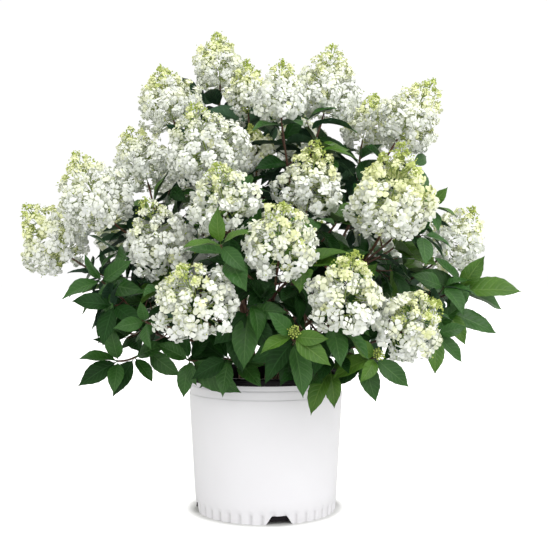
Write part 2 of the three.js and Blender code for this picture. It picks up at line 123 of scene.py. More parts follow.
def times(first, second):
    return maths("MULTIPLY", first, second)


def minus(first, second):
    return maths("SUBTRACT", first, second)


def vectors(operation, first, second):
    ends = {0: first, "Scale" if operation == "SCALE" else 1: second}
    return addNode(first.id_data, "ShaderNodeVectorMath", ends, operation=operation).outputs[0]


def ranged(value, before, after, **settings):
    ends = {"From Min": before[0], "From Max": before[1], "To Min": after[0], "To Max": after[1]}
    return addNode(value.id_data, "ShaderNodeMapRange", {"Value": value, **ends}, **settings).outputs[0]


def noiseAt(spot, grain, detail):
    inputs = {"Vector": spot, "Scale": maths("DIVIDE", 1.0, grain), "Detail": detail}
    return addNode(spot.id_data, "ShaderNodeTexNoise", inputs).outputs["Fac"]


def partsOf(spot):
    return addNode(spot.id_data, "ShaderNodeSeparateXYZ", {"Vector": spot}).outputs


# Helpers for meshes
def meshFrom(name, points, faces, smooth=True):
    mesh = bpy.data.meshes.new(name)
    mesh.from_pydata([tuple(p) for p in points], [], [tuple(f) for f in faces])
    mesh.polygons.foreach_set("use_smooth", [smooth] * len(mesh.polygons))
    mesh.update()
    return mesh


def setUv(mesh, name, pairs):
    layer = mesh.uv_layers.new(name=name)
    corners = np.array([loop.vertex_index for loop in mesh.loops])
    layer.data.foreach_set("uv", np.asarray(pairs, float)[corners].ravel())


def shown(name, mesh):
    made = bpy.data.objects.new(name, mesh)
    scene.collection.objects.link(made)
    return made


# The mesh goes through a Geometry Nodes tree, and comes back as a plain mesh.
def grown(name, mesh, tree, values):
    carrier = shown(name + "Carrier", mesh)
    modifier = carrier.modifiers.new("grow", "NODES")
    modifier.node_group = tree
    for item in tree.interface.items_tree:
        if item.in_out == "INPUT" and item.name in values:
            modifier[item.identifier] = values[item.name]
    graph = bpy.context.evaluated_depsgraph_get()
    made = shown(name, bpy.data.meshes.new_from_object(carrier.evaluated_get(graph)))
    bpy.data.objects.remove(carrier)
    made.data.name = name
    return made


# A piece rides on the plant's one body and stands for its CAD nodes.
def settle(piece, nodes):
    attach(piece, "root")
    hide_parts(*nodes)
    print(piece.name, "has", sum(len(p.vertices) - 2 for p in piece.data.polygons), "triangles")


# Loose points that carry attributes, for a tree that sets something on each.
def pointMesh(name, points, **attributes):
    mesh = bpy.data.meshes.new(name)
    mesh.vertices.add(len(points))
    mesh.vertices.foreach_set("co", (np.array(points, float) * mm).ravel())
    for key, values in attributes.items():
        values = np.array(values)
        kind = "FLOAT_VECTOR" if values.ndim == 2 else "INT" if values.dtype.kind == "i" else "FLOAT"
        made = mesh.attributes.new(key, kind, "POINT")
        made.data.foreach_set("vector" if values.ndim == 2 else "value", values.ravel())
    return mesh


# Lines with a thickness at each point, for a tree that sweeps them into limbs.
def lineMesh(name, lines):
    points, edges, thick = [], [], []
    for line, radii in lines:
        first = len(points)
        points.extend(line)
        thick.extend(radii)
        edges.extend((first + i, first + i + 1) for i in range(len(line) - 1))
    mesh = bpy.data.meshes.new(name)
    mesh.from_pydata([tuple(np.array(p) * mm) for p in points], edges, [])
    mesh.attributes.new("thick", "FLOAT", "POINT").data.foreach_set("value", np.array(thick, float) * mm)
    return mesh


# Shader groups
# Soft patches of lighter and darker, in Object coordinates.
def makeMottle():
    tree, ins, end = newGroup(
        "mottle", "ShaderNodeTree", {"Size": 0.02, "Detail": 3.0, "Contrast": 1.0}, ["Mask"]
    )
    noise = noiseAt(addNode(tree, "ShaderNodeTexCoord").outputs["Object"], ins["Size"], ins["Detail"])
    feed(end, {"Mask": maths("ADD", times(minus(noise, 0.5), ins["Contrast"]), 0.5, clamp=True)})
    return tree


# The midrib and the side veins of a leaf: U runs from stalk to tip, V from edge to edge.
def makeVeins():
    veinSlant, veinStrength = 0.24, 0.35
    tree, ins, end = newGroup(
        "leafVeins", "ShaderNodeTree",
        {"Pairs": 8.0, "Slant": 0.75, "Midrib": 0.07, "Vein": 0.2}, ["Mask", "Height"],
    )
    uv = partsOf(addNode(tree, "ShaderNodeUVMap", uv_map="leafUv").outputs["UV"])
    off = maths("ABSOLUTE", minus(times(uv["Y"], 2.0), 1.0))
    rib = maths("SUBTRACT", 1.0, maths("DIVIDE", off, ins["Midrib"]), clamp=True)
    run = minus(uv["X"], times(off, times(ins["Slant"], veinSlant)))
    wave = maths("PINGPONG", times(run, ins["Pairs"]), 0.5)
    vein = maths("SUBTRACT", 1.0, maths("DIVIDE", wave, ins["Vein"]), clamp=True)
    mask = maths("MAXIMUM", rib, times(vein, veinStrength))
    feed(end, {"Mask": mask, "Height": minus(1.0, maths("MAXIMUM", rib, vein))})
    return tree


# Streaks that follow a limb, in the place along and round it that its sweep leaves as an attribute.
def makeStreaks():
    tree, ins, end = newGroup("barkStreaks", "ShaderNodeTree", {"Grain": 0.003, "Stretch": 0.12}, ["Mask"])
    spot = addNode(tree, "ShaderNodeAttribute", attribute_name="barkPlace").outputs["Vector"]
    flat = addNode(tree, "ShaderNodeCombineXYZ", {"X": 1.0, "Y": 1.0, "Z": ins["Stretch"]}).outputs[0]
    feed(end, {"Mask": noiseAt(vectors("MULTIPLY", spot, flat), ins["Grain"], 4.0)})
    return tree


mottleGroup = makeMottle()
veinGroup = makeVeins()
streakGroup = makeStreaks()


# A material with its Principled shader, and ways to place a group in it.
def newMaterial(name):
    material = bpy.data.materials.new(name)
    material.use_nodes = True
    tree = material.node_tree
    return material, tree, tree.nodes["Principled BSDF"]


def placed(tree, group, **values):
    return addNode(tree, "ShaderNodeGroup", values, node_tree=group).outputs


def mottled(tree, **values):
    return placed(tree, mottleGroup, **values)["Mask"]


def bumped(height, distance, strength):
    inputs = {"Height": height, "Distance": distance, "Strength": strength}
    return addNode(height.id_data, "ShaderNodeBump", inputs).outputs["Normal"]


# A finish of two colours in soft patches: one roughness, or a pair of them that the patches run between.
def patchy(name, colours, roughness, patches, gloss=None, bump=None):
    material, tree, shader = newMaterial(name)
    mask = mottled(tree, **patches)
    rough = ranged(mask, (0, 1), roughness) if isinstance(roughness, tuple) else roughness
    feed(shader, {"Base Color": mixed(mask, *colours), "Roughness": rough})
    if gloss:
        feed(shader, {"Specular IOR Level": gloss})
    if bump:
        feed(shader, {"Normal": bumped(mask, *bump)})
    return material


# Geometry Nodes trees
def named(tree, name, kind):
    made = addNode(tree, "GeometryNodeInputNamedAttribute", {"Name": name}, data_type=kind)
    return next(s for s in made.outputs if s.enabled and s.name == "Attribute")


def stored(geometry, name, kind, value):
    tree, inputs = geometry.id_data, {"Geometry": geometry, "Name": name}
    made = addNode(tree, "GeometryNodeStoreNamedAttribute", inputs, data_type=kind, domain="POINT")
    tree.links.new(value, next(s for s in made.inputs if s.enabled and s.name == "Value"))
    return made.outputs["Geometry"]


def finished(tree, geometry, material, end, smooth=True):
    real = addNode(tree, "GeometryNodeRealizeInstances", {"Geometry": geometry})
    soft = addNode(tree, "GeometryNodeSetShadeSmooth", {"Geometry": real.outputs[0], "Shade Smooth": smooth})
    dressed = addNode(tree, "GeometryNodeSetMaterial", {"Geometry": soft.outputs[0], "Material": material})
    feed(end, {"Geometry": dressed.outputs[0]})
    return tree


# Lines swept into limbs, with the bark's relief pressed into them.
def makeLimbTree():
    tree, ins, end = newGroup(
        "growLimbs", "GeometryNodeTree",
        {"Geometry": "Geometry", "Sides": 8, "Relief": 0.1, "Grain": 0.003, "Material": "Material"},
        ["Geometry"],
    )
    lines = addNode(tree, "GeometryNodeMeshToCurve", {"Mesh": ins["Geometry"]}).outputs[0]
    lines = stored(lines, "along", "FLOAT", addNode(tree, "GeometryNodeSplineParameter").outputs["Length"])
    ring = addNode(tree, "GeometryNodeCurvePrimitiveCircle", {"Resolution": ins["Sides"], "Radius": 1.0})
    spot = addNode(tree, "GeometryNodeInputPosition").outputs[0]
    ring = stored(ring.outputs["Curve"], "around", "FLOAT_VECTOR", spot)
    thick = named(tree, "thick", "FLOAT")
    sweep = {"Curve": lines, "Profile Curve": ring, "Scale": thick, "Fill Caps": True}
    swept = addNode(tree, "GeometryNodeCurveToMesh", sweep).outputs[0]
    around = vectors("SCALE", named(tree, "around", "FLOAT_VECTOR"), thick)
    along = addNode(tree, "ShaderNodeCombineXYZ", {"Z": named(tree, "along", "FLOAT")}).outputs[0]
    swept = stored(swept, "barkPlace", "FLOAT_VECTOR", vectors("ADD", around, along))
    drawn = vectors("MULTIPLY", named(tree, "barkPlace", "FLOAT_VECTOR"), (1, 1, 0.3))
    rise = times(minus(noiseAt(drawn, ins["Grain"], 3.0), 0.5), ins["Relief"])
    push = vectors("SCALE", addNode(tree, "GeometryNodeInputNormal").outputs["Normal"], times(rise, thick))
    moved = addNode(tree, "GeometryNodeSetPosition", {"Geometry": swept, "Offset": push}).outputs[0]
    return finished(tree, moved, ins["Material"], end)


# One shape of a set placed on each point: its Z along "face", its Y along "aim".
def makeScatterTree():
    tree, ins, end = newGroup(
        "scatterShapes", "GeometryNodeTree",
        {"Geometry": "Geometry", "Shapes": "Collection", "Size": 1.0, "Smooth": True, "Material": "Material"},
        ["Geometry"],
    )
    inputs = {"Collection": ins["Shapes"], "Separate Children": True, "Reset Children": True}
    shapes = addNode(tree, "GeometryNodeCollectionInfo", inputs).outputs[0]
    axes = [named(tree, name, "FLOAT_VECTOR") for name in ("face", "aim")]
    inputs = {"Primary Axis": axes[0], "Secondary Axis": axes[1]}
    turned = addNode(tree, "FunctionNodeAxesToRotation", inputs, primary_axis="Z", secondary_axis="Y")
    inputs = {
        "Points": ins["Geometry"], "Instance": shapes, "Pick Instance": True, "Rotation": turned.outputs[0],
        "Instance Index": named(tree, "kind", "INT"),
        "Scale": times(named(tree, "size", "FLOAT"), ins["Size"]),
    }
    put = addNode(tree, "GeometryNodeInstanceOnPoints", inputs).outputs[0]
    return finished(tree, put, ins["Material"], end, ins["Smooth"])


limbTree = makeLimbTree()
scatterTree = makeScatterTree()


def shapeSet(name, makeShape, count):
    made = bpy.data.collections.new(name)
    for kind in range(count):
        made.objects.link(bpy.data.objects.new(f"{name}{kind:02d}", makeShape(kind)))
    return made


# A row to scatter is its spot, its aim, its face, its size and which shape of the set it takes.
def scatter(name, rows, shapes, material, slot, nodes, **values):
    spots, aims, faces, sizes, kinds = zip(*rows)
    cloud = pointMesh(name + "Points", spots, aim=aims, face=faces, size=sizes, kind=kinds)
    values = {"Shapes": shapes, "Size": mm, "Material": material, **values}
    settle(grown(name, cloud, scatterTree, values), nodes)


def sweepLines(name, lines, look, material, nodes):
    values = {"Sides": look["sides"], "Relief": look["relief"], "Grain": look["grain"], "Material": material}
    settle(grown(name, lineMesh(name + "Lines", lines), limbTree, values), nodes)


# How the plant grows: the rule of the CAD solids
rim = {"height": 228, "radius": 140}
ringCane = {"count": 6, "azimuth": 28, "foot": 36, "top": 66, "height": 304, "sway": 1}
middleCane = {"foot": 6, "top": 10, "height": 345, "sway": 0}
caneSway = {"azimuth": 5, "foot": 4, "top": 6, "height": 12}
caneForm = {"radii": (4.9, 3.6), "stands": 204.35, "flare": 1.35, "bend": 4}
boughForm = {"share": 0.46, "arch": 0.14, "first": 0.98, "step": 0.13, "middle": 120, "seat": 0.35,
             "radii": (3.3, 2.4)}
shootForm = {"pull": 0.3, "firstFork": 0.1, "forkStep": 0.16, "inBloom": 0.3, "room": (2.2, 1.6)}
leafForm = {"petiole": 7, "length": 65, "width": 34, "widest": 0.46, "droop": 0.1, "tries": 3,
            "litSideFrom": 150, "upwards": 0.75, "twist": 0.65}
listedForm = {"longer": 1.13, "litFrom": 0.3, "fresh": 3, "freshFrom": -30, "toFront": 0.8}
whorlForm = {"spacing": 29, "first": 9, "last": 16, "turn": 0.4, "hang": 0.3, "size": (1.01, 0.13),
             "toFront": 0.15}
youngWhorl = {"count": 4, "rise": 0.75, "hang": 0.35}
grownWhorl = {"count": 2, "rise": 0.42, "hang": 1}
hangs = {"low": (250, 0.3), "high": (650, 0.15)}
curveMarks = 200


def bloom(azimuth, reach, height, across, length, lean):
    return {"azimuth": azimuth, "reach": reach, "height": height, "across": across, "length": length,
            "lean": lean, "blooms": True, "whorls": ()}


def leafy(azimuth, reach, height, lean, whorls=()):
    return {**bloom(azimuth, reach, height, 0, 0, lean), "blooms": False, "whorls": whorls}


# Each leaf of a listed whorl: its way as the front shows it, in degrees clockwise from upright, its length
# and how far it leans to the front.
leftWhorls = [
    [[-104, 62, 0.4], [-30, 46, 0.5], [56, 56, 0.4], [105, 62, 0.3], [157, 58, 0.6]],
    [[-140, 62, 0.1], [-170, 60, 0.3]],
]
lowLeftWhorls = [
    [[-78, 60, 0.4], [-7, 58, 0.5], [-118, 66, 0.2], [-177, 52, 0.8]],
    [[-149, 64, 0.1], [137, 48, 0.5], [61, 58, 0.4]],
    [[128, 64, 0.4], [70, 54, 0.2]],
]
innerLeftWhorls = [[[-97, 44, 0.5], [-8, 34, 0.8], [172, 42, 0.7], [80, 44, 0.4]]]
highFrontWhorls = [[[-11, 50, 0.5], [-88, 52, 0.4], [58, 48, 0.4], [139, 50, 0.5], [-162, 40, 0.8]]]
budWhorls = [
    [[-110, 50, 0.5], [97, 46, 0.5], [129, 60, 0.4], [-43, 48, 0.5]],
    [[169, 74, 0.3], [-140, 66, 0.2]],
]
lowRightWhorls = [
    [[-106, 66, 0.3], [-151, 44, 0.8], [-51, 46, 0.5], [132, 60, 0.2], [60, 50, 0.3]],
    [[168, 62, 0.3], [-128, 58, 0.1]],
]
rightWhorls = [
    [[89, 88, 0.3], [110, 78, -0.1], [27, 62, 0.4], [-29, 68, 0.3], [-74, 80, 0.2], [-146, 46, 0.6]],
    [[8, 56, -0.3], [150, 50, -0.3]],
]
rightLowerWhorls = [[[160, 56, 0.5], [115, 76, 0.1], [40, 50, 0.1]]]
rightHangingWhorls = [[[-172, 56, 0.4], [135, 54, 0.0], [75, 44, 0.2]]]
highRightWhorls = [[[47, 38, 0.3], [-17, 36, 0.4], [105, 46, 0.4], [156, 44, 0.5]]]
leftRimWhorls = [
    [[118, 86, 0.3], [-170, 54, 0.3], [160, 40, 0.7], [-60, 54, 0.3], [-8, 60, 0.2], [40, 66, 0.2]],
]
frontRimWhorls = [[[-28, 72, 0.2], [12, 66, 0.25], [-112, 58, 0.25], [-168, 54, 0.5], [96, 54, 0.4]]]
innerFrontWhorls = [
    [[-130, 66, 0.25], [152, 66, 0.25], [-84, 56, 0.25], [-172, 78, 0.3], [86, 54, 0.4]],
    [[178, 74, 0.1]],
]
rightRimWhorls = [[[-147, 68, 0.4], [171, 52, 0.4], [60, 50, 0.3], [-60, 54, 0.3]]]

sprays = {
    "left_edge": [
        bloom(-90, 366, 458, 120, 126, 40), bloom(-112, 290, 482, 98, 106, 36), leafy(-97, 262, 366, 60),
    ],
    "left_upper": [
        bloom(-73, 288, 524, 118, 130, 26), bloom(-105, 229, 596, 112, 112, 20), leafy(-88, 190, 500, 40),
    ],
    "top_left": [
        bloom(-112, 187, 703, 112, 116, 14), bloom(-148, 165, 784, 92, 108, 8), leafy(-122, 150, 610, 30),
    ],
    "centre_left": [
        bloom(-41, 148, 598, 134, 116, 26), bloom(-16, 222, 506, 106, 98, 38), leafy(-22, 130, 470, 40),
    ],
    "top_back": [
        bloom(-155, 76, 716, 80, 104, 6), bloom(-137, 30, 604, 78, 86, 14), leafy(-100, 70, 520, 30),
    ],
    "top_middle": [
        bloom(33, 48, 690, 88, 98, 4), bloom(104, 110, 719, 110, 128, 6), leafy(70, 90, 590, 30),
    ],
    "top_right": [
        bloom(123, 220, 670, 94, 106, 20), bloom(97, 256, 669, 110, 134, 32),
        bloom(115, 235, 560, 96, 104, 40),
    ],
    "right_front": [
        bloom(45, 268, 512, 124, 142, 16), leafy(65, 280, 494, 50, highRightWhorls), leafy(60, 230, 430, 50),
    ],
    "centre_right": [bloom(39, 116, 541, 108, 116, 14), leafy(48, 150, 470, 40), leafy(12, 120, 430, 40)],
    "front_middle": [
        bloom(5, 272, 443, 106, 108, 42), leafy(-12, 284, 428, 62, highFrontWhorls), leafy(16, 200, 400, 60),
    ],
    "left_middle": [
        bloom(-49, 216, 450, 106, 120, 24), bloom(-81, 124, 441, 78, 86, 30), leafy(-66, 160, 380, 60),
    ],
    "front_left": [
        bloom(-19, 297, 360, 120, 108, 44), leafy(-39, 273, 320, 66, innerLeftWhorls),
        leafy(-6, 214, 336, 60, innerFrontWhorls),
    ],
    "front_right": [
        bloom(22, 302, 370, 104, 114, 28), leafy(8, 288, 304, 64, budWhorls), leafy(36, 210, 350, 60),
    ],
    "right_low": [
        bloom(46, 300, 322, 106, 106, 58), leafy(37, 266, 268, 76, lowRightWhorls), leafy(62, 220, 330, 66),
    ],
    "right_edge": [
        bloom(86, 318, 456, 108, 106, 32), bloom(104, 296, 398, 88, 92, 46), leafy(80, 230, 400, 50),
    ],
    "right_skirt": [
        leafy(79, 321, 364, 78, rightWhorls), leafy(60, 300, 298, 72, rightHangingWhorls),
        leafy(75, 303, 331, 76, rightLowerWhorls),
    ],
    "left_skirt": [
        leafy(-61, 285, 378, 60, leftWhorls), leafy(-64, 255, 254, 84, lowLeftWhorls),
        leafy(-100, 250, 290, 74),
    ],
    "rim_front": [
        leafy(-18, 176, 262, 80, frontRimWhorls), leafy(27, 214, 248, 80, rightRimWhorls),
        leafy(-39, 184, 258, 78, leftRimWhorls),
    ],
    "back_right": [
        bloom(135, 292, 362, 108, 112, 46), bloom(128, 266, 472, 106, 112, 34), leafy(122, 268, 280, 74),
    ],
    "back_middle": [
        bloom(165, 300, 352, 110, 110, 48), bloom(160, 286, 456, 104, 110, 38), leafy(150, 240, 266, 78),
    ],
    "back_left": [
        bloom(-165, 292, 370, 106, 112, 46), bloom(-170, 256, 500, 108, 112, 30), leafy(-176, 238, 270, 78),
    ],
    "left_back": [
        bloom(-132, 302, 352, 110, 110, 46), bloom(-135, 290, 462, 104, 112, 36), leafy(-144, 250, 272, 76),
    ],
    "high_back_right": [
        bloom(150, 230, 562, 106, 112, 28), bloom(160, 172, 650, 100, 108, 16), leafy(140, 150, 500, 50),
    ],
    "high_back_left": [
        bloom(-140, 236, 572, 108, 112, 28), bloom(-157, 222, 664, 90, 100, 20), leafy(-160, 150, 500, 50),
    ],
}


def chance(a, b):
    wave = math.sin(a * 12.9898 + b * 78.233) * 43758.5453
    return wave - math.floor(wave)


def sway(a, b, most):
    return 2 * most * (chance(a, b) - 0.5)


def between(ends, share):
    return ends[0] + (ends[1] - ends[0]) * share


def mapped(value, low, high, atLow, atHigh):
    return atLow + (value - low) * (atHigh - atLow) / (high - low)


def place(azimuth, reach, height):
    turn = math.radians(azimuth)
    return Vector((reach * math.sin(turn), -reach * math.cos(turn), height))


# A ray out from an axis: turned round it between two sides, or also leant away from it.
def spun(side, other, turn):
    return side * math.cos(turn) + other * math.sin(turn)


def leant(axis, side, other, turn, lean):
    return axis * math.cos(lean) + spun(side, other, turn) * math.sin(lean)


def acrossOf(axis):
    side = axis.cross(up if abs(axis.z) < 0.9 else Vector((0, 1, 0))).normalized()
    return side, axis.cross(side).normalized()


def aimRound(face, turn):
    aim = acrossOf(face)[0]
    aim.rotate(Quaternion(face, turn))
    return aim


# A smooth curve through three or four pulls, that also answers by distance.
class Curve:
    def __init__(self, *pulls):
        self.pulls = [Vector(p) for p in pulls]
        marks = [self.at(i / curveMarks) for i in range(curveMarks + 1)]
        self.reached = np.cumsum([0.0] + [(b - a).length for a, b in zip(marks, marks[1:])])
        self.length = float(self.reached[-1])

    def at(self, t):
        row = self.pulls
        while len(row) > 1:
            row = [a.lerp(b, t) for a, b in zip(row, row[1:])]
        return row[0].copy()

    def heading(self, t):
        low, high = max(0.0, t - 1e-4), min(1.0, t + 1e-4)
        return (self.at(high) - self.at(low)).normalized()

    def share(self, distance):
        return float(np.interp(distance, self.reached, np.linspace(0, 1, curveMarks + 1)))

    def line(self, steps, radii):
        shares = [i / steps for i in range(steps + 1)]
        return [self.at(t) for t in shares], [between(radii, t) for t in shares]

    def spokes(self, t):
        along = self.heading(t)
        side = along.cross(up).normalized()
        return along, side, side.cross(along).normalized()


def layCanes():
    canes = []
    for i in range(ringCane["count"] + 1):
        form = ringCane if i < ringCane["count"] else middleCane
        amount = form["sway"]
        azimuth = ringCane["azimuth"] + 360 / ringCane["count"] * i + sway(i, 1, caneSway["azimuth"])
        footAt = form["foot"] + amount * sway(i, 2, caneSway["foot"])
        topAt = form["top"] + amount * sway(i, 3, caneSway["top"])
        foot = place(azimuth, footAt, caneForm["stands"])
        top = place(azimuth, topAt, form["height"] + amount * sway(i, 4, caneSway["height"]))
        turned = azimuth + sway(i, 5, caneSway["azimuth"])
        bend = place(turned, footAt + caneForm["bend"], (foot.z + top.z) / 2)
        canes.append({"azimuth": azimuth, "curve": Curve(foot, bend, top), "boughs": 0})
    return canes


def shootEnd(shoot):
    lean = math.radians(shoot["lean"])
    axis = place(shoot["azimuth"], math.sin(lean), math.cos(lean))
    centre = place(shoot["azimuth"], shoot["reach"], shoot["height"])
    within = shoot["length"] * shootForm["inBloom"]
    tip = centre + axis * (within - shoot["length"] / 2)
    return {"axis": axis, "centre": centre, "within": within, "tip": tip}


def caneFor(canes, spot):
    if math.hypot(spot.x, spot.y) < boughForm["middle"]:
        return canes[-1]
    azimuth = math.degrees(math.atan2(spot.x, -spot.y))
    return min(canes[:-1], key=lambda cane: abs(((cane["azimuth"] - azimuth + 540) % 360) - 180))


def laySpray(canes, name, shoots, index):
    ends = [shootEnd(shoot) for shoot in shoots]
    middle = sum((end["tip"] for end in ends), Vector((0, 0, 0))) / len(ends)
    cane = caneFor(canes, middle)
    start = cane["curve"].at(boughForm["first"] - boughForm["step"] * cane["boughs"])
    cane["boughs"] += 1
    stop = start.lerp(middle, boughForm["share"])
    arch = start.lerp(stop, 0.5) + up * (boughForm["arch"] * (stop - start).length)
    bough = Curve(start, arch, stop)

    def grow(i, foot, heading):
        axis, tip = ends[i]["axis"], ends[i]["tip"]
        pull = (tip - foot).length * shootForm["pull"]
        curve = Curve(foot, foot + heading * pull, tip - axis * pull, tip)
        return {**shoots[i], **ends[i], "curve": curve, "seed": index * 10 + i + 1, "spray": name}

    heading = bough.heading(1)
    grownShoots = [grow(0, stop + heading * boughForm["seat"], heading)]
    stem = grownShoots[0]["curve"]
    for k in range(1, len(shoots)):
        share = shootForm["firstFork"] + shootForm["forkStep"] * (k - 1)
        fork = stem.at(share)
        towards = (ends[k]["tip"] - fork).normalized()
        grownShoots.append(grow(k, fork, stem.heading(share).lerp(towards, 0.5).normalized()))
    return {"name": name, "bough": bough, "shoots": grownShoots}


# A bloom's half width at a share of its height, and the lumps in its outline: each wave's height, its turns
# round the bloom and along it, and how far the seed shifts it.
bloomForm = {
    "widest": 0.34, "foot": 0.03, "shoulder": 1.6, "point": 0.95,
    "waves": ((0.07, 3, 7, 1), (0.05, 5, -9, 2)),
}


def outlineAt(share):
    widest = bloomForm["widest"]
    if share < widest:
        return (1 - ((widest - share) / (widest + bloomForm["foot"])) ** 2) ** 0.5
    return (1 - ((share - widest) / (1 - widest)) ** bloomForm["shoulder"]) ** bloomForm["point"]


def lumpAt(turn, share, seed):
    lump = 1
    for high, around, along, shift in bloomForm["waves"]:
        lump += high * math.sin(around * turn + along * share + shift * seed)
    return lump


canes = layCanes()
layouts = [laySpray(canes, name, shoots, index) for index, (name, shoots) in enumerate(sprays.items())]
shoots = [shoot for layout in layouts for shoot in layout["shoots"]]
blooms = [shoot for shoot in shoots if shoot["blooms"]]
print("laid out:", len(canes), "canes,", len(layouts), "boughs,", len(shoots), "shoots,",
      len(blooms), "blooms")

# Leaves: whorls on every shoot, and on finer side twigs
sideTwig = {
    "length": (34, 62), "rise": 0.5, "count": 4, "size": (0.8, 0.14), "pair": 0.55, "radii": (1.3, 0.8),
    "first": 1.4, "step": 0.8, "clear": 9, "rimClear": 12, "leafRise": 0.6, "turn": 0.4, "hang": (0.25, 0.6),
    "spin": 2.4, "sway": 0.5, "bend": 0.6, "lift": 0.15, "litFrom": 0.6, "toFront": 0.3,
}

# The skirt keeps above a line, and the crown keeps open round a few spots: places across and heights as the
# front shows them, in the plane of the pot's axis. The listed whorls alone may cross them.
skirtLine = (
    (-420, 420), (-336, 350), (-309, 316), (-282, 264), (-144, 245), (-134, 199), (131, 199), (226, 225),
    (234, 271), (293, 271), (318, 309), (420, 335),
)
openings = [
    {"across": -53, "height": 229, "half": (10, 20)},
    {"across": -3, "height": 232, "half": (16, 20)},
    {"across": 108, "height": 225, "half": (10, 12)},
    {"across": -38, "height": 276, "half": (28, 24)},
    {"across": -127, "height": 267, "half": (20, 18)},
    {"across": -222, "height": 287, "half": (10, 8)},
    {"across": 197, "height": 275, "half": (20, 14)},
]

# What is taken up already: balls along the limbs, in the blooms and on the leaves. How far a leaf keeps off
# them is its own room, less in a bloom, and less again in its own.
room = {
    "balls": 60000, "leaf": 4.6, "listed": -3, "bloom": -3, "ownBloom": -8, "step": 6, "around": 80,
    "bloomShares": (0.3, 0.5, 0.7, 0.88), "bloomWide": 0.52,
}
ball = np.zeros((room["balls"], 6))
ballCount = 0


def takeRoom(centres, radii, owner, inBloom):
    global ballCount
    rows = ball[ballCount:ballCount + len(centres)]
    rows[:, :3], rows[:, 3], rows[:, 4], rows[:, 5] = centres, radii, owner, inBloom
    ballCount += len(centres)


def coverLine(curve, radii, owner):
    takeRoom(*curve.line(max(2, math.ceil(curve.length / room["step"])), radii), owner, 0)


def makeLeaf(row, aim):
    at, seed = row["at"], row["seed"]
    outwards = Vector((at.x, at.y, 0)).normalized()
    light = outwards * leafForm["upwards"] + up - Vector((0, row["toFront"], 0))
    across = aim.cross(light).normalized()
    across.rotate(Quaternion(aim, sway(seed, 9, leafForm["twist"])))
    long = leafForm["petiole"] + leafForm["length"] * row["size"]
    return {**row, "aim": aim, "across": across, "face": across.cross(aim).normalized(), "long": long}


leafShares = np.array([s for share in (0.24, 0.42, 0.58, 0.74) for s in (share,) * 3] + [0.92])
leafSides = np.array([-0.6, 0, 0.6] * 4 + [0])
shownBalls = [4, 7, 12]


def leafBalls(leaf):
    widest = leafForm["widest"]
    wide = np.where(leafShares < widest, leafShares / widest, (1 - leafShares) / (1 - widest))
    droop = leafForm["droop"] * leaf["long"] * np.maximum(0, (leafShares - widest) / (1 - widest))
    return (
        np.array(leaf["at"])
        + np.outer(leafShares * leaf["long"], leaf["aim"])
        + np.outer(leafSides * wide * leafForm["width"] / 2 * leaf["size"], leaf["across"])
        - np.outer(droop, leaf["face"])
    )


# Whether points keep to the skirt's line and out of the openings.
def keepsOpen(points):
    eye = np.array(camera["place"]) / mm
    spread = eye[1] / (eye[1] - points[:, 1])
    across = eye[0] + (points[:, 0] - eye[0]) * spread
    height = eye[2] + (points[:, 2] - eye[2]) * spread
    if np.any(height < np.interp(across, *zip(*skirtLine))):
        return False
    for gap in openings:
        wide, high = gap["half"]
        if np.any(((across - gap["across"]) / wide) ** 2 + ((height - gap["height"]) / high) ** 2 < 1):
            return False
    return True


def fits(leaf, listed):
    balls = leafBalls(leaf)
    if not listed and not keepsOpen(balls[shownBalls]):
        return False
    low = balls[:, 2] < rim["height"] + room["leaf"]
    if np.any(low & (np.hypot(balls[:, 0], balls[:, 1]) < rim["radius"] + room["leaf"])):
        return False
    near = ball[:ballCount]
    near = near[np.linalg.norm(near[:, :3] - np.array(leaf["at"]), axis=1) < leaf["long"] + room["around"]]
    gaps = np.linalg.norm(balls[:, None] - near[None, :, :3], axis=2) - near[:, 3]
    own, inBloom = near[:, 4] == leaf["owner"], near[:, 5] > 0
    need = np.where(inBloom, room["bloom"], room["listed"] if listed else room["leaf"])
    need = np.where(own & inBloom, room["ownBloom"], need)
    passed = (own & ~inBloom)[None, :] & (leafShares < 0.5)[:, None]
    return not np.any((gaps < need) & ~passed)


def rayOut(spokes, turn, rise, hang):
    along, side, other = spokes
    return (spun(side, other, turn) + along * rise - up * hang).normalized()


def frontAim(way, lean):
    return Vector((math.sin(math.radians(way)), -lean, math.cos(math.radians(way)))).normalized()


def listedWhorl(shoot, whorl, at):
    rows = []
    for k, (way, length, lean) in enumerate(shoot["whorls"][whorl]):
        # Painted light: a listed leaf that leans well to the front, or stands on the right-hand side, takes
        # the lighter mid green; one of the first leaves of the first whorl that leans to the front takes the
        # young green instead, unless its shoot is far to the left.
        lit = lean >= listedForm["litFrom"]
        early = whorl == 0 and k < listedForm["fresh"]
        fresh = early and lit and shoot["azimuth"] > listedForm["freshFrom"]
        rows.append({
            "whorl": -1, "at": at, "aims": [frontAim(way, lean)], "seed": shoot["seed"] * 7 + whorl * 3 + k,
            "size": (length * listedForm["longer"] - leafForm["petiole"]) / leafForm["length"],
            "tone": "young" if fresh else "mid" if lit or at.x > leafForm["litSideFrom"] else "dark",
            "owner": shoot["seed"], "toFront": listedForm["toFront"],
        })
    return rows


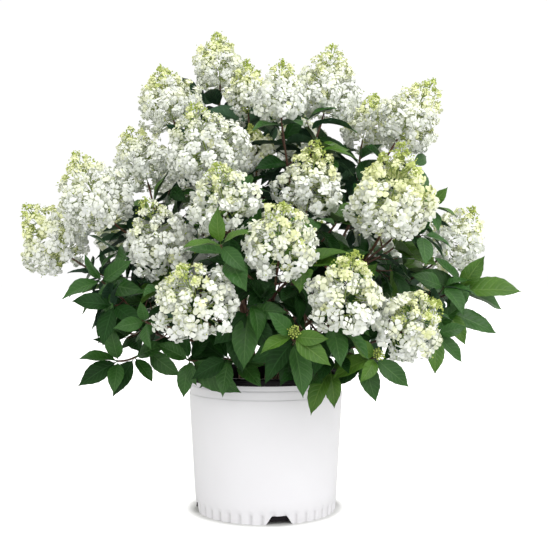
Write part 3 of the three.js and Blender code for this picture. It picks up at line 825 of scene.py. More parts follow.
# The leaves that a shoot offers, each with the ways that it may turn to find room.
def offered(shoot):
    form, curve, own = whorlForm, shoot["curve"], shoot["seed"]
    first = shoot["within"] + form["first"] if shoot["blooms"] else 1
    rows = []
    for whorl in range(math.floor((curve.length - form["last"] - first) / form["spacing"]) + 1):
        young = whorl == 0 and not shoot["blooms"]
        kind = youngWhorl if young else grownWhorl
        count = kind["count"] + (0 if young else (whorl + own) % 2)
        t = curve.share(curve.length - first - whorl * form["spacing"])
        at, spokes = curve.at(t), curve.spokes(t)
        if whorl < len(shoot["whorls"]):
            rows.extend(listedWhorl(shoot, whorl, at))
            continue
        (low, lowHang), (high, highHang) = hangs["low"], hangs["high"]
        base = mapped(min(at.z, high), low, high, lowHang, highHang)
        tone = "young" if young else "mid" if whorl == 0 or (whorl == 1 and not shoot["blooms"]) else "dark"
        for k in range(count):
            seed, aims = own * 7 + whorl * 3 + k, []
            for i in range(leafForm["tries"]):
                turn = 2 * math.pi * (k + 0.5 * whorl) / count + sway(seed, 6 + 4 * i, form["turn"]) + own + i
                hang = (base + form["hang"] * chance(seed, 7 + 4 * i)) * kind["hang"]
                aims.append(rayOut(spokes, turn, kind["rise"], hang))
            # Painted light: every other old leaf on the right-hand side takes the lighter mid green.
            litSide = tone == "dark" and at.x > leafForm["litSideFrom"] and k % 2
            size = form["size"][0] + sway(seed, 8, form["size"][1])
            rows.append({"whorl": whorl, "at": at, "aims": aims, "seed": seed, "size": size,
                         "tone": "mid" if litSide else tone, "owner": own, "toFront": form["toFront"]})
    return rows


# The leaves of a side twig: a whorl at its end, and a pair below it.
def twigLeaves(twig, seed, owner):
    rows = []
    for step, share, count in ((0, 1.0, sideTwig["count"]), (1, sideTwig["pair"], 2)):
        spokes = twig.spokes(share)
        tone = "mid" if step == 0 and chance(seed, 3) > sideTwig["litFrom"] else "dark"
        for n in range(count):
            aims = []
            for i in range(leafForm["tries"]):
                spin = 2 * math.pi * n / count + step + sway(seed, 20 + 4 * n + i, sideTwig["turn"]) + i
                hang = between(sideTwig["hang"], chance(seed, 40 + n + i))
                aims.append(rayOut(spokes, spin, sideTwig["leafRise"], hang))
            size = sideTwig["size"][0] + sway(seed, 60 + n, sideTwig["size"][1])
            rows.append({"whorl": 2 + step, "at": twig.at(share), "aims": aims, "seed": seed + n + 7 * step,
                         "size": size, "owner": owner, "toFront": sideTwig["toFront"], "tone": tone})
    return rows


# Side twigs leave a shoot between its whorls.
def sideTwigs(shoot):
    curve, own = shoot["curve"], shoot["seed"]
    spacing = whorlForm["spacing"] * sideTwig["step"]
    first = shoot["within"] + whorlForm["first"] + whorlForm["spacing"] * sideTwig["first"]
    twigs = []
    for k in range(math.floor((curve.length - whorlForm["last"] - first) / spacing) + 1):
        seed = own * 13 + k * 5 + 1000
        t = curve.share(curve.length - first - k * spacing)
        at = curve.at(t)
        turn = sideTwig["spin"] * k + own + sway(seed, 1, sideTwig["sway"])
        aim = rayOut(curve.spokes(t), turn, sideTwig["rise"], 0)
        length = between(sideTwig["length"], chance(seed, 2))
        end = at + aim * length + up * length * sideTwig["lift"]
        twig = Curve(at, at + aim * length * sideTwig["bend"], end)
        near, tip = ball[:ballCount], np.array(twig.at(1))
        blocked = np.linalg.norm(near[:, :3] - tip, axis=1) < near[:, 3] + sideTwig["clear"]
        inPot = tip[2] < rim["height"] + sideTwig["rimClear"]
        inPot = inPot and math.hypot(tip[0], tip[1]) < rim["radius"] + sideTwig["rimClear"]
        if inPot or np.any(blocked & ~((near[:, 4] == own) & (near[:, 5] == 0))) or not keepsOpen(tip[None]):
            continue
        twigs.append({"curve": twig, "rows": twigLeaves(twig, seed, own)})
    return twigs


for cane in canes:
    coverLine(cane["curve"], caneForm["radii"], -1)
for layout in layouts:
    coverLine(layout["bough"], boughForm["radii"], -1)
for shoot in shoots:
    coverLine(shoot["curve"], shootForm["room"], shoot["seed"])
for shoot in blooms:
    shares = np.array(room["bloomShares"])
    centres = np.array(shoot["centre"]) + np.outer((shares - 0.5) * shoot["length"], shoot["axis"])
    radii = [room["bloomWide"] * outlineAt(s) * shoot["across"] for s in shares]
    takeRoom(centres, radii, shoot["seed"], 1)

twigs = [twig for shoot in shoots for twig in sideTwigs(shoot)]
wanted = [row for shoot in shoots for row in offered(shoot)] + [row for twig in twigs for row in twig["rows"]]
leaves = []
for row in sorted(wanted, key=lambda row: row["whorl"]):
    tried = (makeLeaf(row, aim) for aim in row["aims"])
    leaf = next((leaf for leaf in tried if fits(leaf, row["whorl"] < 0)), None)
    row["kept"] = leaf is not None
    if leaf:
        takeRoom(leafBalls(leaf), room["leaf"], leaf["owner"], 0)
        leaves.append(leaf)
twigs = [twig for twig in twigs if any(row["kept"] for row in twig["rows"])]
print("grown:", len(leaves), "leaves,", len(twigs), "side twigs")

# The leaf's own shape
blade = {
    "shares": (0, 0.07, 0.1, 0.15, 0.21, 0.28, 0.35, 0.42, 0.49, 0.56, 0.63, 0.7, 0.77, 0.84, 0.9, 0.95),
    "widths": (0.03, 0.035, 0.1, 0.4, 0.64, 0.83, 0.95, 1.0, 1.0, 0.96, 0.88, 0.76, 0.59, 0.38, 0.2, 0.08),
    "halfWidth": 0.215, "teeth": 0.02, "fold": (0.2, 0.5), "droop": (0.06, 0.26), "droopFrom": 0.25,
    "bend": 0.1, "kinds": 8, "ripple": 0.018, "ripples": 11, "swell": 0.03, "pull": 0.35, "toothFrom": 0.3,
    "sagPower": 1.7,
}
# Besides the leaves' age, the dark and mid greens also carry painted shade and painted light: the mid green
# goes to leaves that lean to the front or stand on the right-hand side, and the dark green stays on the
# others.
leafLooks = {
    "dark": {"deep": (0.006, 0.026, 0.005), "light": (0.015, 0.060, 0.010), "vein": (0.033, 0.10, 0.028),
             "under": (0.034, 0.080, 0.044), "gloss": 0.12},
    "mid": {"deep": (0.015, 0.064, 0.008), "light": (0.038, 0.124, 0.019), "vein": (0.085, 0.19, 0.05),
            "under": (0.070, 0.145, 0.080), "gloss": 0.3},
    "young": {"deep": (0.036, 0.106, 0.010), "light": (0.082, 0.186, 0.018), "vein": (0.15, 0.26, 0.055),
              "under": (0.12, 0.20, 0.08), "gloss": 0.3},
}


def bladeMesh(kind):
    fold = between(blade["fold"], chance(kind, 1))
    droop = between(blade["droop"], chance(kind, 2))
    bend = sway(kind, 3, blade["bend"])
    points, uv, faces = [], [], []
    for row, (share, width) in enumerate(zip(blade["shares"], blade["widths"])):
        tooth = blade["teeth"] * (1 if row % 2 else -1) * (width > blade["toothFrom"])
        beyond = max(0.0, (share - blade["droopFrom"]) / (1 - blade["droopFrom"]))
        sag = droop * beyond ** blade["sagPower"]
        for side in (-1, -0.5, 0, 0.5, 1):
            x = side * (width + (tooth if abs(side) == 1 else 0)) * blade["halfWidth"]
            ripple = blade["ripple"] * math.sin(share * blade["ripples"] + kind + side) * abs(side)
            z = abs(x) * fold + blade["swell"] * width * (1 - abs(2 * abs(side) - 1)) - sag + ripple
            points.append((x + bend * share**2, share - blade["pull"] * sag, z))
            uv.append((share, (side + 1) / 2))
    points.append((bend, 1 - blade["pull"] * droop, -droop))
    uv.append((1, 0.5))
    last = len(blade["shares"]) - 1
    for row in range(last):
        for a in range(row * 5, row * 5 + 4):
            faces.append((a, a + 1, a + 6, a + 5))
    faces.extend((a, a + 1, len(points) - 1) for a in range(last * 5, last * 5 + 4))
    mesh = meshFrom(f"blade{kind}", points, faces)
    setUv(mesh, "leafUv", uv)
    return mesh


leafFinish = {
    "veins": {"Pairs": 9.0, "Slant": 0.9, "Midrib": 0.09, "Vein": 0.22}, "veinShare": 0.7,
    "patches": {"Size": 0.035, "Contrast": 1.6}, "roughness": 0.38, "bump": (0.0006, 0.5),
}


def leafMaterial(name, look):
    material, tree, shader = newMaterial(name)
    veins = placed(tree, veinGroup, **leafFinish["veins"])
    colour = mixed(mottled(tree, **leafFinish["patches"]), look["deep"], look["light"])
    colour = mixed(times(veins["Mask"], leafFinish["veinShare"]), colour, look["vein"])
    behind = addNode(tree, "ShaderNodeNewGeometry").outputs["Backfacing"]
    feed(shader, {
        "Base Color": mixed(behind, colour, look["under"]), "Roughness": leafFinish["roughness"],
        "Specular IOR Level": look["gloss"], "Normal": bumped(veins["Height"], *leafFinish["bump"]),
    })
    return material


leafShapes = shapeSet("blade", bladeMesh, blade["kinds"])
sprayNodes = ["spray_" + name for name in sprays]
for tone, look in leafLooks.items():
    rows = [(leaf["at"], leaf["aim"], leaf["face"], leaf["long"], leaf["seed"] % blade["kinds"])
            for leaf in leaves if leaf["tone"] == tone]
    scatter("leaves_" + tone, rows, leafShapes, leafMaterial("leaf_" + tone, look), "foliage", sprayNodes)

# Canes, boughs and twigs with their bark
caneBark = {
    "sides": 16, "relief": 0.34, "grain": 0.0032, "ring": 0.12, "roughness": 0.85, "steps": 34,
    "below": 8, "foot": 1.02, "flareSteps": 2.5,
    "dark": (0.11, 0.06, 0.04), "light": (0.34, 0.23, 0.16), "peel": (0.48, 0.38, 0.29),
}
boughBark = {
    "sides": 10, "relief": 0.2, "grain": 0.0024, "ring": 0.16, "roughness": 0.7, "slimmer": 0.95, "steps": 22,
    "dark": (0.055, 0.022, 0.014), "light": (0.17, 0.08, 0.05), "peel": (0.27, 0.16, 0.1),
}
twigSkin = {
    "sides": 6, "relief": 0.08, "grain": 0.002, "ring": 0.2, "roughness": 0.5, "radii": (2.4, 1.5),
    "steps": 20, "sideSteps": 6, "greenFrom": 0.85, "greenSlimmer": 0.8,
    "dark": (0.05, 0.02, 0.012), "light": (0.13, 0.05, 0.03), "peel": (0.16, 0.11, 0.05),
}
leafScar = {"step": 52, "width": 4.5}
barkFinish = {
    "streaks": {"Grain": 0.0026, "Stretch": 0.14}, "flakes": {"Grain": 0.007, "Stretch": 0.3},
    "ramp": (0.38, 0.62), "peelFrom": 0.52, "peelEdge": 9.0, "bump": (0.0012, 0.8),
}


def barkMaterial(name, look):
    material, tree, shader = newMaterial(name)
    streaks = placed(tree, streakGroup, **barkFinish["streaks"])["Mask"]
    flakes = placed(tree, streakGroup, **barkFinish["flakes"])["Mask"]
    ramp = addNode(tree, "ShaderNodeValToRGB", {"Fac": streaks})
    for element, position in zip(ramp.color_ramp.elements, barkFinish["ramp"]):
        element.position = position
    colour = mixed(ramp.outputs["Color"], look["dark"], look["light"])
    edge = maths("MULTIPLY", minus(flakes, barkFinish["peelFrom"]), barkFinish["peelEdge"], clamp=True)
    feed(shader, {
        "Base Color": mixed(edge, colour, look["peel"]), "Roughness": look["roughness"],
        "Normal": bumped(streaks, *barkFinish["bump"]),
    })
    return material


# A limb's line, with a ring where last year's leaves stood.
def ringed(curve, look, radii):
    line, radii = curve.line(look["steps"], radii)
    walked, out = 0.0, []
    for i, radius in enumerate(radii):
        walked += (line[i] - line[i - 1]).length if i else 0
        near = (walked + leafScar["step"] / 2) % leafScar["step"] - leafScar["step"] / 2
        out.append(radius * (1 + look["ring"] * math.exp(-((near / leafScar["width"]) ** 2))))
    return line, out


caneLines = []
for cane in canes:
    line, radii = ringed(cane["curve"], caneBark, caneForm["radii"])
    flare = caneForm["flare"] - 1
    radii = [r * (1 + flare * math.exp(-i / caneBark["flareSteps"])) for i, r in enumerate(radii)]
    line.insert(0, line[0] - up * caneBark["below"])
    caneLines.append((line, [radii[0] * caneBark["foot"]] + radii))
caneNodes = [f"cane_{i + 1}" for i in range(len(canes))]
sweepLines("canes_bark", caneLines, caneBark, barkMaterial("cane_bark", caneBark), caneNodes)

slimmer = [r * boughBark["slimmer"] for r in boughForm["radii"]]
boughLines = [ringed(layout["bough"], boughBark, slimmer) for layout in layouts]
boughNodes = ["bough_" + name for name in sprays]
youngBark = barkMaterial("bough_bark", boughBark)
sweepLines("boughs_bark", boughLines, boughBark, youngBark, boughNodes)

# This year's twigs: brown as far as the bloom, and green inside it.
twigLines, stalkLines = [], []
for shoot in shoots:
    line, radii = ringed(shoot["curve"], twigSkin, twigSkin["radii"])
    if shoot["blooms"]:
        green = shoot["within"] * twigSkin["greenFrom"]
        inside = next(i for i, spot in enumerate(line) if (spot - shoot["tip"]).length < green)
        stalkLines.append((line[inside:], [r * twigSkin["greenSlimmer"] for r in radii[inside:]]))
        line, radii = line[:inside + 1], radii[:inside + 1]
    twigLines.append((line, radii))
twigLines.extend(twig["curve"].line(twigSkin["sideSteps"], sideTwig["radii"]) for twig in twigs)
sweepLines("twigs", twigLines, twigSkin, barkMaterial("twig_skin", twigSkin), sprayNodes)
print("limbs made")

# Blooms
panicle = {
    "florets": 6, "sink": 0.95, "loose": 4.5, "trim": 0.94, "lumps": 1.6, "hang": 12, "hangBelow": 0.45,
    "taperFrom": 0.45, "taper": 0.55, "taperPower": 1.2, "steepest": 1.6, "cover": 0.8,
    "golden": math.pi * (3 - math.sqrt(5)), "upperFrom": 500, "shares": (0.02, 0.985), "evenly": 0.12,
    "step": 0.02, "countSway": (-1, 2), "turnSway": (-0.2, 0.2), "limeFrom": 0.88, "leanRipe": 0.002,
    "ripeSway": (-0.1, 0.06), "tones": (("lime", 0.14), ("cream", -0.08), ("ivory", -0.34)), "toWhite": 0.3,
}
# The inner florets are greener: partly their own colour, partly painted shade deep inside the bloom.
innerFlorets = {
    "reach": 0.8, "cover": 0.36, "count": 5, "small": 0.75, "ripe": (0.25, 0.92), "from": 0.02, "over": 0.86,
}
# How each floret lies in its cluster's dome: the first one near the top, and the others round it.
floretLie = {
    "topLean": 0.3, "lean": 0.85, "leanSway": (-0.25, 0.3), "spinSway": (-0.4, 0.4), "depth": (-3, 2),
    "tilt": (-0.5, 0.5), "upFrom": 0.4, "up": 0.5, "ripen": 0.6, "ripeSway": (-0.1, 0.1),
    "sizes": (0.82, 1.16),
}
clusterStalk = {"low": 0.8, "from": 0.35, "middle": 0.6, "sag": 3, "top": 0.6, "radii": (0.8, 0.6, 0.4)}
core = {"top": 0.44, "radii": (1.7, 1.3, 0.7)}
clusterBuds = {"count": 2, "reach": (0.4, 1.0), "loose": (-6, 6), "sizes": (0.9, 1.5)}
tipBuds = {
    "count": 110, "from": 0.68, "over": 0.32, "crowd": 0.6, "depth": (-7, 1), "loose": (-3, 3),
    "sizes": (0.9, 1.8),
}
# How much sooner than the others some sprays' blooms turn green towards the tip: partly the blooms' own
# ripening and partly painted shade, most of all on the left edge, whose greener florets stand for the shade
# on the plant's left side.
riperAndShaded = {
    "right_front": 0.24, "top_right": 0.24, "top_left": 0.2, "top_back": 0.3, "left_edge": 0.3,
    "front_middle": 0.08, "front_right": 0.16, "right_low": 0.22, "right_edge": 0.14, "centre_right": 0.12,
    "top_middle": 0.08, "front_left": 0.06,
}
# The low blooms are loose, of large florets, and the high ones close, of small ones.
lowBloom = {"height": 420, "cluster": 26.5, "dome": 9.5, "radius": 9}
highBloom = {"height": 620, "cluster": 22, "dome": 8, "radius": 8}
sepal = {
    "outline": ((0.09, 0.0), (0.34, -0.27), (0.63, -0.46), (0.88, -0.37), (1.0, -0.06), (0.9, 0.34),
                (0.64, 0.47), (0.35, 0.28)),
    "middle": 0.62, "kinds": 8, "turn": 0.22, "reach": 0.14, "tilt": (0.3, 0.38), "curl": (0.15, 0.45),
    "twist": 0.4, "cup": 0.22, "wide": 0.47,
}
petalLooks = {
    "white": {"colour": (0.86, 0.88, 0.885), "heart": (0.78, 0.82, 0.50), "shade": (0.855, 0.88, 0.79)},
    "ivory": {"colour": (0.865, 0.885, 0.82), "heart": (0.71, 0.77, 0.33), "shade": (0.84, 0.87, 0.60)},
    "cream": {"colour": (0.865, 0.885, 0.61), "heart": (0.60, 0.66, 0.18), "shade": (0.80, 0.84, 0.43)},
    "lime": {"colour": (0.67, 0.73, 0.32), "heart": (0.40, 0.50, 0.09), "shade": (0.53, 0.61, 0.18)},
}
levels = ("lower", "upper")
placedFlorets = {(tone, level): [] for tone in petalLooks for level in levels}
placedBuds = []


# A floret of three or four cupped sepals, of radius 1, that faces +Z.
def floretMesh(kind):
    points, uv, faces = [], [], []
    sepals = 3 if kind % 4 == 3 else 4
    for k in range(sepals):
        turn = 2 * math.pi * k / sepals + sway(kind, k, sepal["turn"])
        reach = 1 + sway(kind, 20 + k, sepal["reach"])
        tilt = sepal["tilt"][0] + sway(kind, 30 + k, sepal["tilt"][1])
        curl = between(sepal["curl"], chance(kind, 40 + k))
        twist = sway(kind, 50 + k, sepal["twist"])
        first = len(points)
        for r, w in (*sepal["outline"], (sepal["middle"], 0.0)):
            z = tilt * r - curl * r**3 - sepal["cup"] * (w / sepal["wide"]) ** 2 * r + twist * w
            x, y, c, s = r * reach, w * reach, math.cos(turn), math.sin(turn)
            points.append((x * c - y * s, x * s + y * c, z))
            uv.append((r, 0.5 + w))
        count = len(sepal["outline"])
        faces.extend((first + i, first + (i + 1) % count, first + count) for i in range(count))
    mesh = meshFrom(f"floret{kind}", points, faces)
    setUv(mesh, "petalUv", uv)
    return mesh


def budMesh(_):
    points = [(0, 0, 1.1), (1, 0, 0), (0, 1, 0), (-1, 0, 0), (0, -1, 0), (0, 0, -1.1)]
    faces = [(1, 2, 0), (2, 3, 0), (3, 4, 0), (4, 1, 0), (2, 1, 5), (3, 2, 5), (4, 3, 5), (1, 4, 5)]
    return meshFrom("bud", points, faces)


petalFinish = {
    "patches": {"Size": 0.022, "Contrast": 1.8}, "heart": (0.05, 0.3), "roughness": 0.6, "gloss": 0.25,
}


def petalMaterial(name, look):
    material, tree, shader = newMaterial(name)
    run = partsOf(addNode(tree, "ShaderNodeUVMap", uv_map="petalUv").outputs["UV"])["X"]
    base = mixed(mottled(tree, **petalFinish["patches"]), look["shade"], look["colour"])
    colour = mixed(ranged(run, petalFinish["heart"], (0, 1)), look["heart"], base)
    feed(shader, {
        "Base Color": colour, "Roughness": petalFinish["roughness"],
        "Specular IOR Level": petalFinish["gloss"],
    })
    return material


def levelOf(shoot):
    return "upper" if shoot["centre"].z > panicle["upperFrom"] else "lower"


# Clusters sit over the bloom's lumpy outline, and each is a small dome of florets on its own stalk with buds
# between them. Greener florets fill the inside, their tone partly their own and partly painted shade, and
# small ones and buds the tip.
def growBloom(shoot):
    draw = np.random.default_rng(shoot["seed"])
    axis, centre, length, half = shoot["axis"], shoot["centre"], shoot["length"], shoot["across"] / 2
    side, other = acrossOf(axis)
    level = levelOf(shoot)
    ripe = panicle["limeFrom"] + draw.uniform(*panicle["ripeSway"]) + panicle["leanRipe"] * shoot["lean"]
    # Painted shade as well as ripening: the listed sprays turn green sooner.
    ripe -= riperAndShaded.get(shoot["spray"], 0)
    shares = np.linspace(*panicle["shares"], 400)
    weights = np.cumsum([outlineAt(s) + panicle["evenly"] for s in shares])
    heights = (lowBloom["height"], highBloom["height"])
    form = {part: float(np.interp(centre.z, heights, (lowBloom[part], highBloom[part])))
            for part in ("cluster", "dome", "radius")}

    def toneAt(ripeness):
        tone = next((name for name, past in panicle["tones"] if ripeness > ripe + past), "white")
        return "white" if tone == "ivory" and draw.random() < panicle["toWhite"] else tone

    def layCluster(share, turn, deep, count, ripeAndShadeShift):
        lump = lumpAt(turn, share, shoot["seed"]) ** panicle["lumps"]
        step = panicle["step"]
        rise = outlineAt(min(share + step, 1)) - outlineAt(max(share - step, 0))
        slope = rise * half / (2 * step * length)
        beyond = max(0.0, (share - panicle["taperFrom"]) / panicle["taper"])
        small = 1 - panicle["taper"] * beyond ** panicle["taperPower"]
        small *= 1 if deep == 1 else innerFlorets["small"]
        dome = form["dome"] * small
        ray = spun(side, other, turn)
        out = (ray - axis * max(-panicle["steepest"], min(panicle["steepest"], slope))).normalized()
        root = centre + axis * ((share - 0.5) * length * (0.5 + 0.5 * deep))
        root += ray * (outlineAt(share) * half * panicle["trim"] * lump * deep)
        root += out * (draw.uniform(-1, 1) * panicle["loose"] - dome * panicle["sink"])
        hang = up * draw.uniform(0, 1) * panicle["hang"]
        root -= hang * max(0.0, panicle["hangBelow"] - share) / panicle["hangBelow"] * deep**4
        foot = centre + axis * ((share * clusterStalk["low"] - 0.5) * length)
        start = foot.lerp(root, clusterStalk["from"])
        bend = start.lerp(root, clusterStalk["middle"]) - axis * clusterStalk["sag"]
        stalkLines.append(([start, bend, root + out * dome * clusterStalk["top"]], clusterStalk["radii"]))
        flat, steep = acrossOf(out)
        for n in range(count):
            if n:
                lean = floretLie["lean"] + draw.uniform(*floretLie["leanSway"])
            else:
                lean = draw.uniform(0, floretLie["topLean"])
            spin = 2 * math.pi * n / max(1, count - 1) + draw.uniform(*floretLie["spinSway"])
            domeRay = leant(out, flat, steep, spin, lean)
            spot = root + domeRay * (dome + draw.uniform(*floretLie["depth"]))
            tilted = domeRay + Vector(draw.uniform(*floretLie["tilt"], 3))
            face = (tilted + up * (share - floretLie["upFrom"]) * floretLie["up"]).normalized()
            aim = aimRound(face, draw.uniform(0, math.pi))
            ripeness = share + (spot - root).dot(axis) / length * floretLie["ripen"]
            tone = toneAt(ripeness + draw.uniform(*floretLie["ripeSway"]) + ripeAndShadeShift)
            size = form["radius"] * small * draw.uniform(*floretLie["sizes"])
            placedFlorets[tone, level].append((spot, aim, face, size, int(draw.integers(sepal["kinds"]))))
        for _ in range(clusterBuds["count"]):
            spot = root + out * dome * draw.uniform(*clusterBuds["reach"])
            spot += Vector(draw.uniform(*clusterBuds["loose"], 3))
            placedBuds.append((spot, flat, out, draw.uniform(*clusterBuds["sizes"]), 0))

    def clustersFor(cover):
        return round(math.pi * shoot["across"] * length * cover / form["cluster"] ** 2)

    clusters = clustersFor(panicle["cover"])
    for k in range(clusters):
        share = float(np.interp((k + 0.5) / clusters * weights[-1], weights, shares))
        count = panicle["florets"] + int(draw.integers(*panicle["countSway"]))
        layCluster(share, panicle["golden"] * k + draw.uniform(*panicle["turnSway"]), 1, count, 0)
    clusters = clustersFor(innerFlorets["cover"])
    for k in range(clusters):
        share = innerFlorets["from"] + innerFlorets["over"] * (k + 0.5) / clusters
        # Painted shade: the inner florets are pushed towards the greener tones.
        ripeAndShadeShift = draw.uniform(*innerFlorets["ripe"]) - share
        layCluster(share, panicle["golden"] * k + 1, innerFlorets["reach"], innerFlorets["count"], ripeAndShadeShift)
    for _ in range(tipBuds["count"]):
        share = tipBuds["from"] + tipBuds["over"] * draw.random() ** tipBuds["crowd"]
        ray = spun(side, other, draw.uniform(0, 2 * math.pi))
        reach = outlineAt(min(share, 0.999)) * half + draw.uniform(*tipBuds["depth"])
        spot = centre + axis * ((share - 0.5) * length) + ray * reach + axis * draw.uniform(*tipBuds["loose"])
        placedBuds.append((spot, side, (ray + axis).normalized(), draw.uniform(*tipBuds["sizes"]), 0))
    top = centre + axis * length * core["top"]
    stalkLines.append(([shoot["tip"], shoot["tip"].lerp(top, 0.5), top], core["radii"]))


# A young head: buds on short stalks, in the middle of a leafy shoot's last whorl.
head = {
    "radius": 11, "count": 34, "lift": 6, "spread": 1.25, "stalk": (0.8, 0.6, 0.3), "up": 0.7, "toFront": 0.7,
    "reach": (0.6, 1.05), "sizes": (1.1, 1.9),
}


def growHead(shoot):
    draw = np.random.default_rng(shoot["seed"])
    front = (shoot["axis"] + up * head["up"] - Vector((0, head["toFront"], 0))).normalized()
    flat, steep = acrossOf(front)
    foot = shoot["tip"]
    for n in range(head["count"]):
        lean = head["spread"] * math.sqrt((n + 0.5) / head["count"])
        ray = leant(front, flat, steep, panicle["golden"] * n, lean)
        spot = foot + front * head["lift"] + ray * (head["radius"] * draw.uniform(*head["reach"]))
        placedBuds.append((spot, flat, ray, draw.uniform(*head["sizes"]), 0))
        stalkLines.append(([foot, foot + front * head["lift"], spot], head["stalk"]))


for shoot in blooms:
    growBloom(shoot)
for shoot in shoots:
    if shoot["whorls"] in (budWhorls, lowRightWhorls):
        growHead(shoot)


def nodesOf(chosen):
    return sorted({"spray_" + shoot["spray"] for shoot in chosen})


floretShapes = shapeSet("floret", floretMesh, sepal["kinds"])
for tone, look in petalLooks.items():
    material = petalMaterial("petal_" + tone, look)
    for level in levels:
        nodes = nodesOf(shoot for shoot in blooms if levelOf(shoot) == level)
        rows = placedFlorets[tone, level]
        scatter(f"florets_{tone}_{level}", rows, floretShapes, material, "foliage", nodes)
budLook = {"colours": ((0.30, 0.42, 0.05), (0.55, 0.62, 0.16)), "roughness": 0.5,
           "patches": {"Size": 0.01, "Contrast": 1.6}}
budLime = patchy("bud_lime", **budLook)
scatter("buds", placedBuds, shapeSet("bud", budMesh, 1), budLime, "foliage", nodesOf(blooms))
stalkForm = {"sides": 4, "relief": 0.0, "grain": 0.01}
stalkLook = {"colours": ((0.16, 0.24, 0.05), (0.34, 0.42, 0.12)), "roughness": 0.55,
             "patches": {"Size": 0.012}}
stalkGreen = patchy("stalk_green", **stalkLook)
sweepLines("bloom_stalks", stalkLines, stalkForm, stalkGreen, nodesOf(blooms))
print("blooms made:", {"_".join(kind): len(rows) for kind, rows in placedFlorets.items()}, "florets")

# The pot
pot = {
    "columns": 400, "ribs": 40, "ribDepth": 3.0, "ribTop": 21, "ribPeak": 0.84, "ribPower": 1.3, "ribEnd": 5,
    "outside": (
        (116.5, 0), (116.6, 1.5), (116.9, 5), (117.1, 9), (117.4, 13), (117.6, 16), (117.8, 19), (118.0, 22),
        (118.3, 27), (118.9, 38), (120.2, 60), (122.0, 90), (123.8, 120), (125.6, 150), (127.2, 178),
        (128.0, 192.4), (127.7, 193.6), (126.9, 194.4), (126.7, 196), (126.6, 204), (126.5, 206.4),
        (126.0, 207.6), (125.5, 208), (125.5, 210), (125.5, 216.6), (125.9, 217),
    ),
    "lip": (
        (137.6, 217), (139.2, 217.5), (140, 218.8), (140, 219.6), (139.4, 220.2), (139.4, 220.9),
        (140, 221.5), (140, 223.2), (139.4, 223.8), (139.4, 224.4), (139.8, 225), (139.5, 226.3),
        (138.6, 227.3), (137.2, 228), (128.6, 228), (126.2, 227.2), (124.2, 225.6), (123.2, 223.4),
        (123, 220),
    ),
    "inside": (
        (123, 207), (124, 190), (121.5, 150), (118, 90), (115.6, 40), (114.2, 13.5), (114, 4), (114, 0),
    ),
    "floor": ((0.5, 5), (113.2, 5), (113.2, 17.5), (0.5, 17.5)), "floorColumns": 96, "liftedBelow": 40,
    "flutedFrom": 116.4, "sharp": 32,
}
notch = {"count": 4, "azimuth": 11, "below": 42, "above": 24, "height": 13}
potLook = {
    "clean": ((0.91, 0.90, 0.955), (0.875, 0.865, 0.915)), "dust": (0.55, 0.53, 0.52), "dustTop": 0.035,
    "fluteShade": (0.42, 0.40, 0.42), "fluteShadeFrom": 0.42, "rough": (0.34, 0.46),
    "fluteShadeEdge": 1.3, "grime": {"Size": 0.05, "Detail": 5.0, "Contrast": 1.5}, "grimeShare": 0.5,
    "dustShare": 0.3, "smears": {"Size": 0.012, "Detail": 6.0, "Contrast": 2.0},
    "pebble": {"Size": 0.0016, "Detail": 2.0}, "bump": (0.0002, 0.15),
    "black": {"colours": ((0.004, 0.003, 0.005), (0.014, 0.011, 0.013)), "roughness": (0.26, 0.45),
              "patches": {"Size": 0.02, "Detail": 6.0, "Contrast": 1.8}, "gloss": 0.12},
}


# How high the foot is cut away at an azimuth.
def notchAt(azimuth):
    apart = 360 / notch["count"]
    off = (azimuth - notch["azimuth"] + apart / 2) % apart - apart / 2
    reach = abs(math.radians(off)) * pot["outside"][0][0]
    share = (notch["below"] / 2 - reach) / ((notch["below"] - notch["above"]) / 2)
    return notch["height"] * min(1.0, max(0.0, share))


# Shallow flutes round the foot, each one deepest at its right-hand edge.
def fluteAt(azimuth, height):
    along, peak, power = (azimuth / 360 * pot["ribs"]) % 1, pot["ribPeak"], pot["ribPower"]
    depth = along**power if along < peak else (1 - along) / (1 - peak) * peak**power
    top = pot["ribTop"] - pot["ribEnd"] * (2 * along - 1) ** 2
    return pot["ribDepth"] * depth * min(1.0, max(0.0, (top - height) / pot["ribEnd"]))


def wallShape(azimuth, radius, height):
    lifted, top = notchAt(azimuth), pot["liftedBelow"]
    if height < top:
        height = lifted + height * (top - lifted) / top
    return radius - (fluteAt(azimuth, height) if radius > pot["flutedFrom"] else 0), height


# Rings turned round the axis, capped at both ends or joined from the last to the first.
def lathed(rings, columns, shape=None, capped=True):
    points, faces, rows = [], [], len(rings)
    for radius, height in rings:
        for i in range(columns):
            azimuth = 360 * i / columns
            spot = shape(azimuth, radius, height) if shape else (radius, height)
            points.append(place(azimuth, *spot) * mm)
    for row in range(rows - capped):
        low, high = row * columns, (row + 1) % rows * columns
        for i in range(columns):
            j = (i + 1) % columns
            faces.append((low + i, low + j, high + j, high + i))
    if capped:
        faces.extend([tuple(reversed(range(columns))), tuple(range((rows - 1) * columns, rows * columns))])
    return points, faces


columns = pot["columns"]
points, faces = lathed([*pot["outside"], *pot["lip"], *pot["inside"]], columns, wallShape, capped=False)
base = len(points)
floorPoints, floorFaces = lathed(pot["floor"], pot["floorColumns"])
points.extend(floorPoints)
faces.extend(tuple(base + v for v in face) for face in floorFaces)

potWhite, tree, shader = newMaterial("pot_white")
grime = mottled(tree, **potLook["grime"])
height = partsOf(addNode(tree, "ShaderNodeTexCoord").outputs["Object"])["Z"]
low = ranged(height, (0.0, potLook["dustTop"]), (1.0, 0.0))
grimy = mixed(times(grime, potLook["grimeShare"]), *potLook["clean"])
dusty = mixed(times(times(low, grime), potLook["dustShare"]), grimy, potLook["dust"])
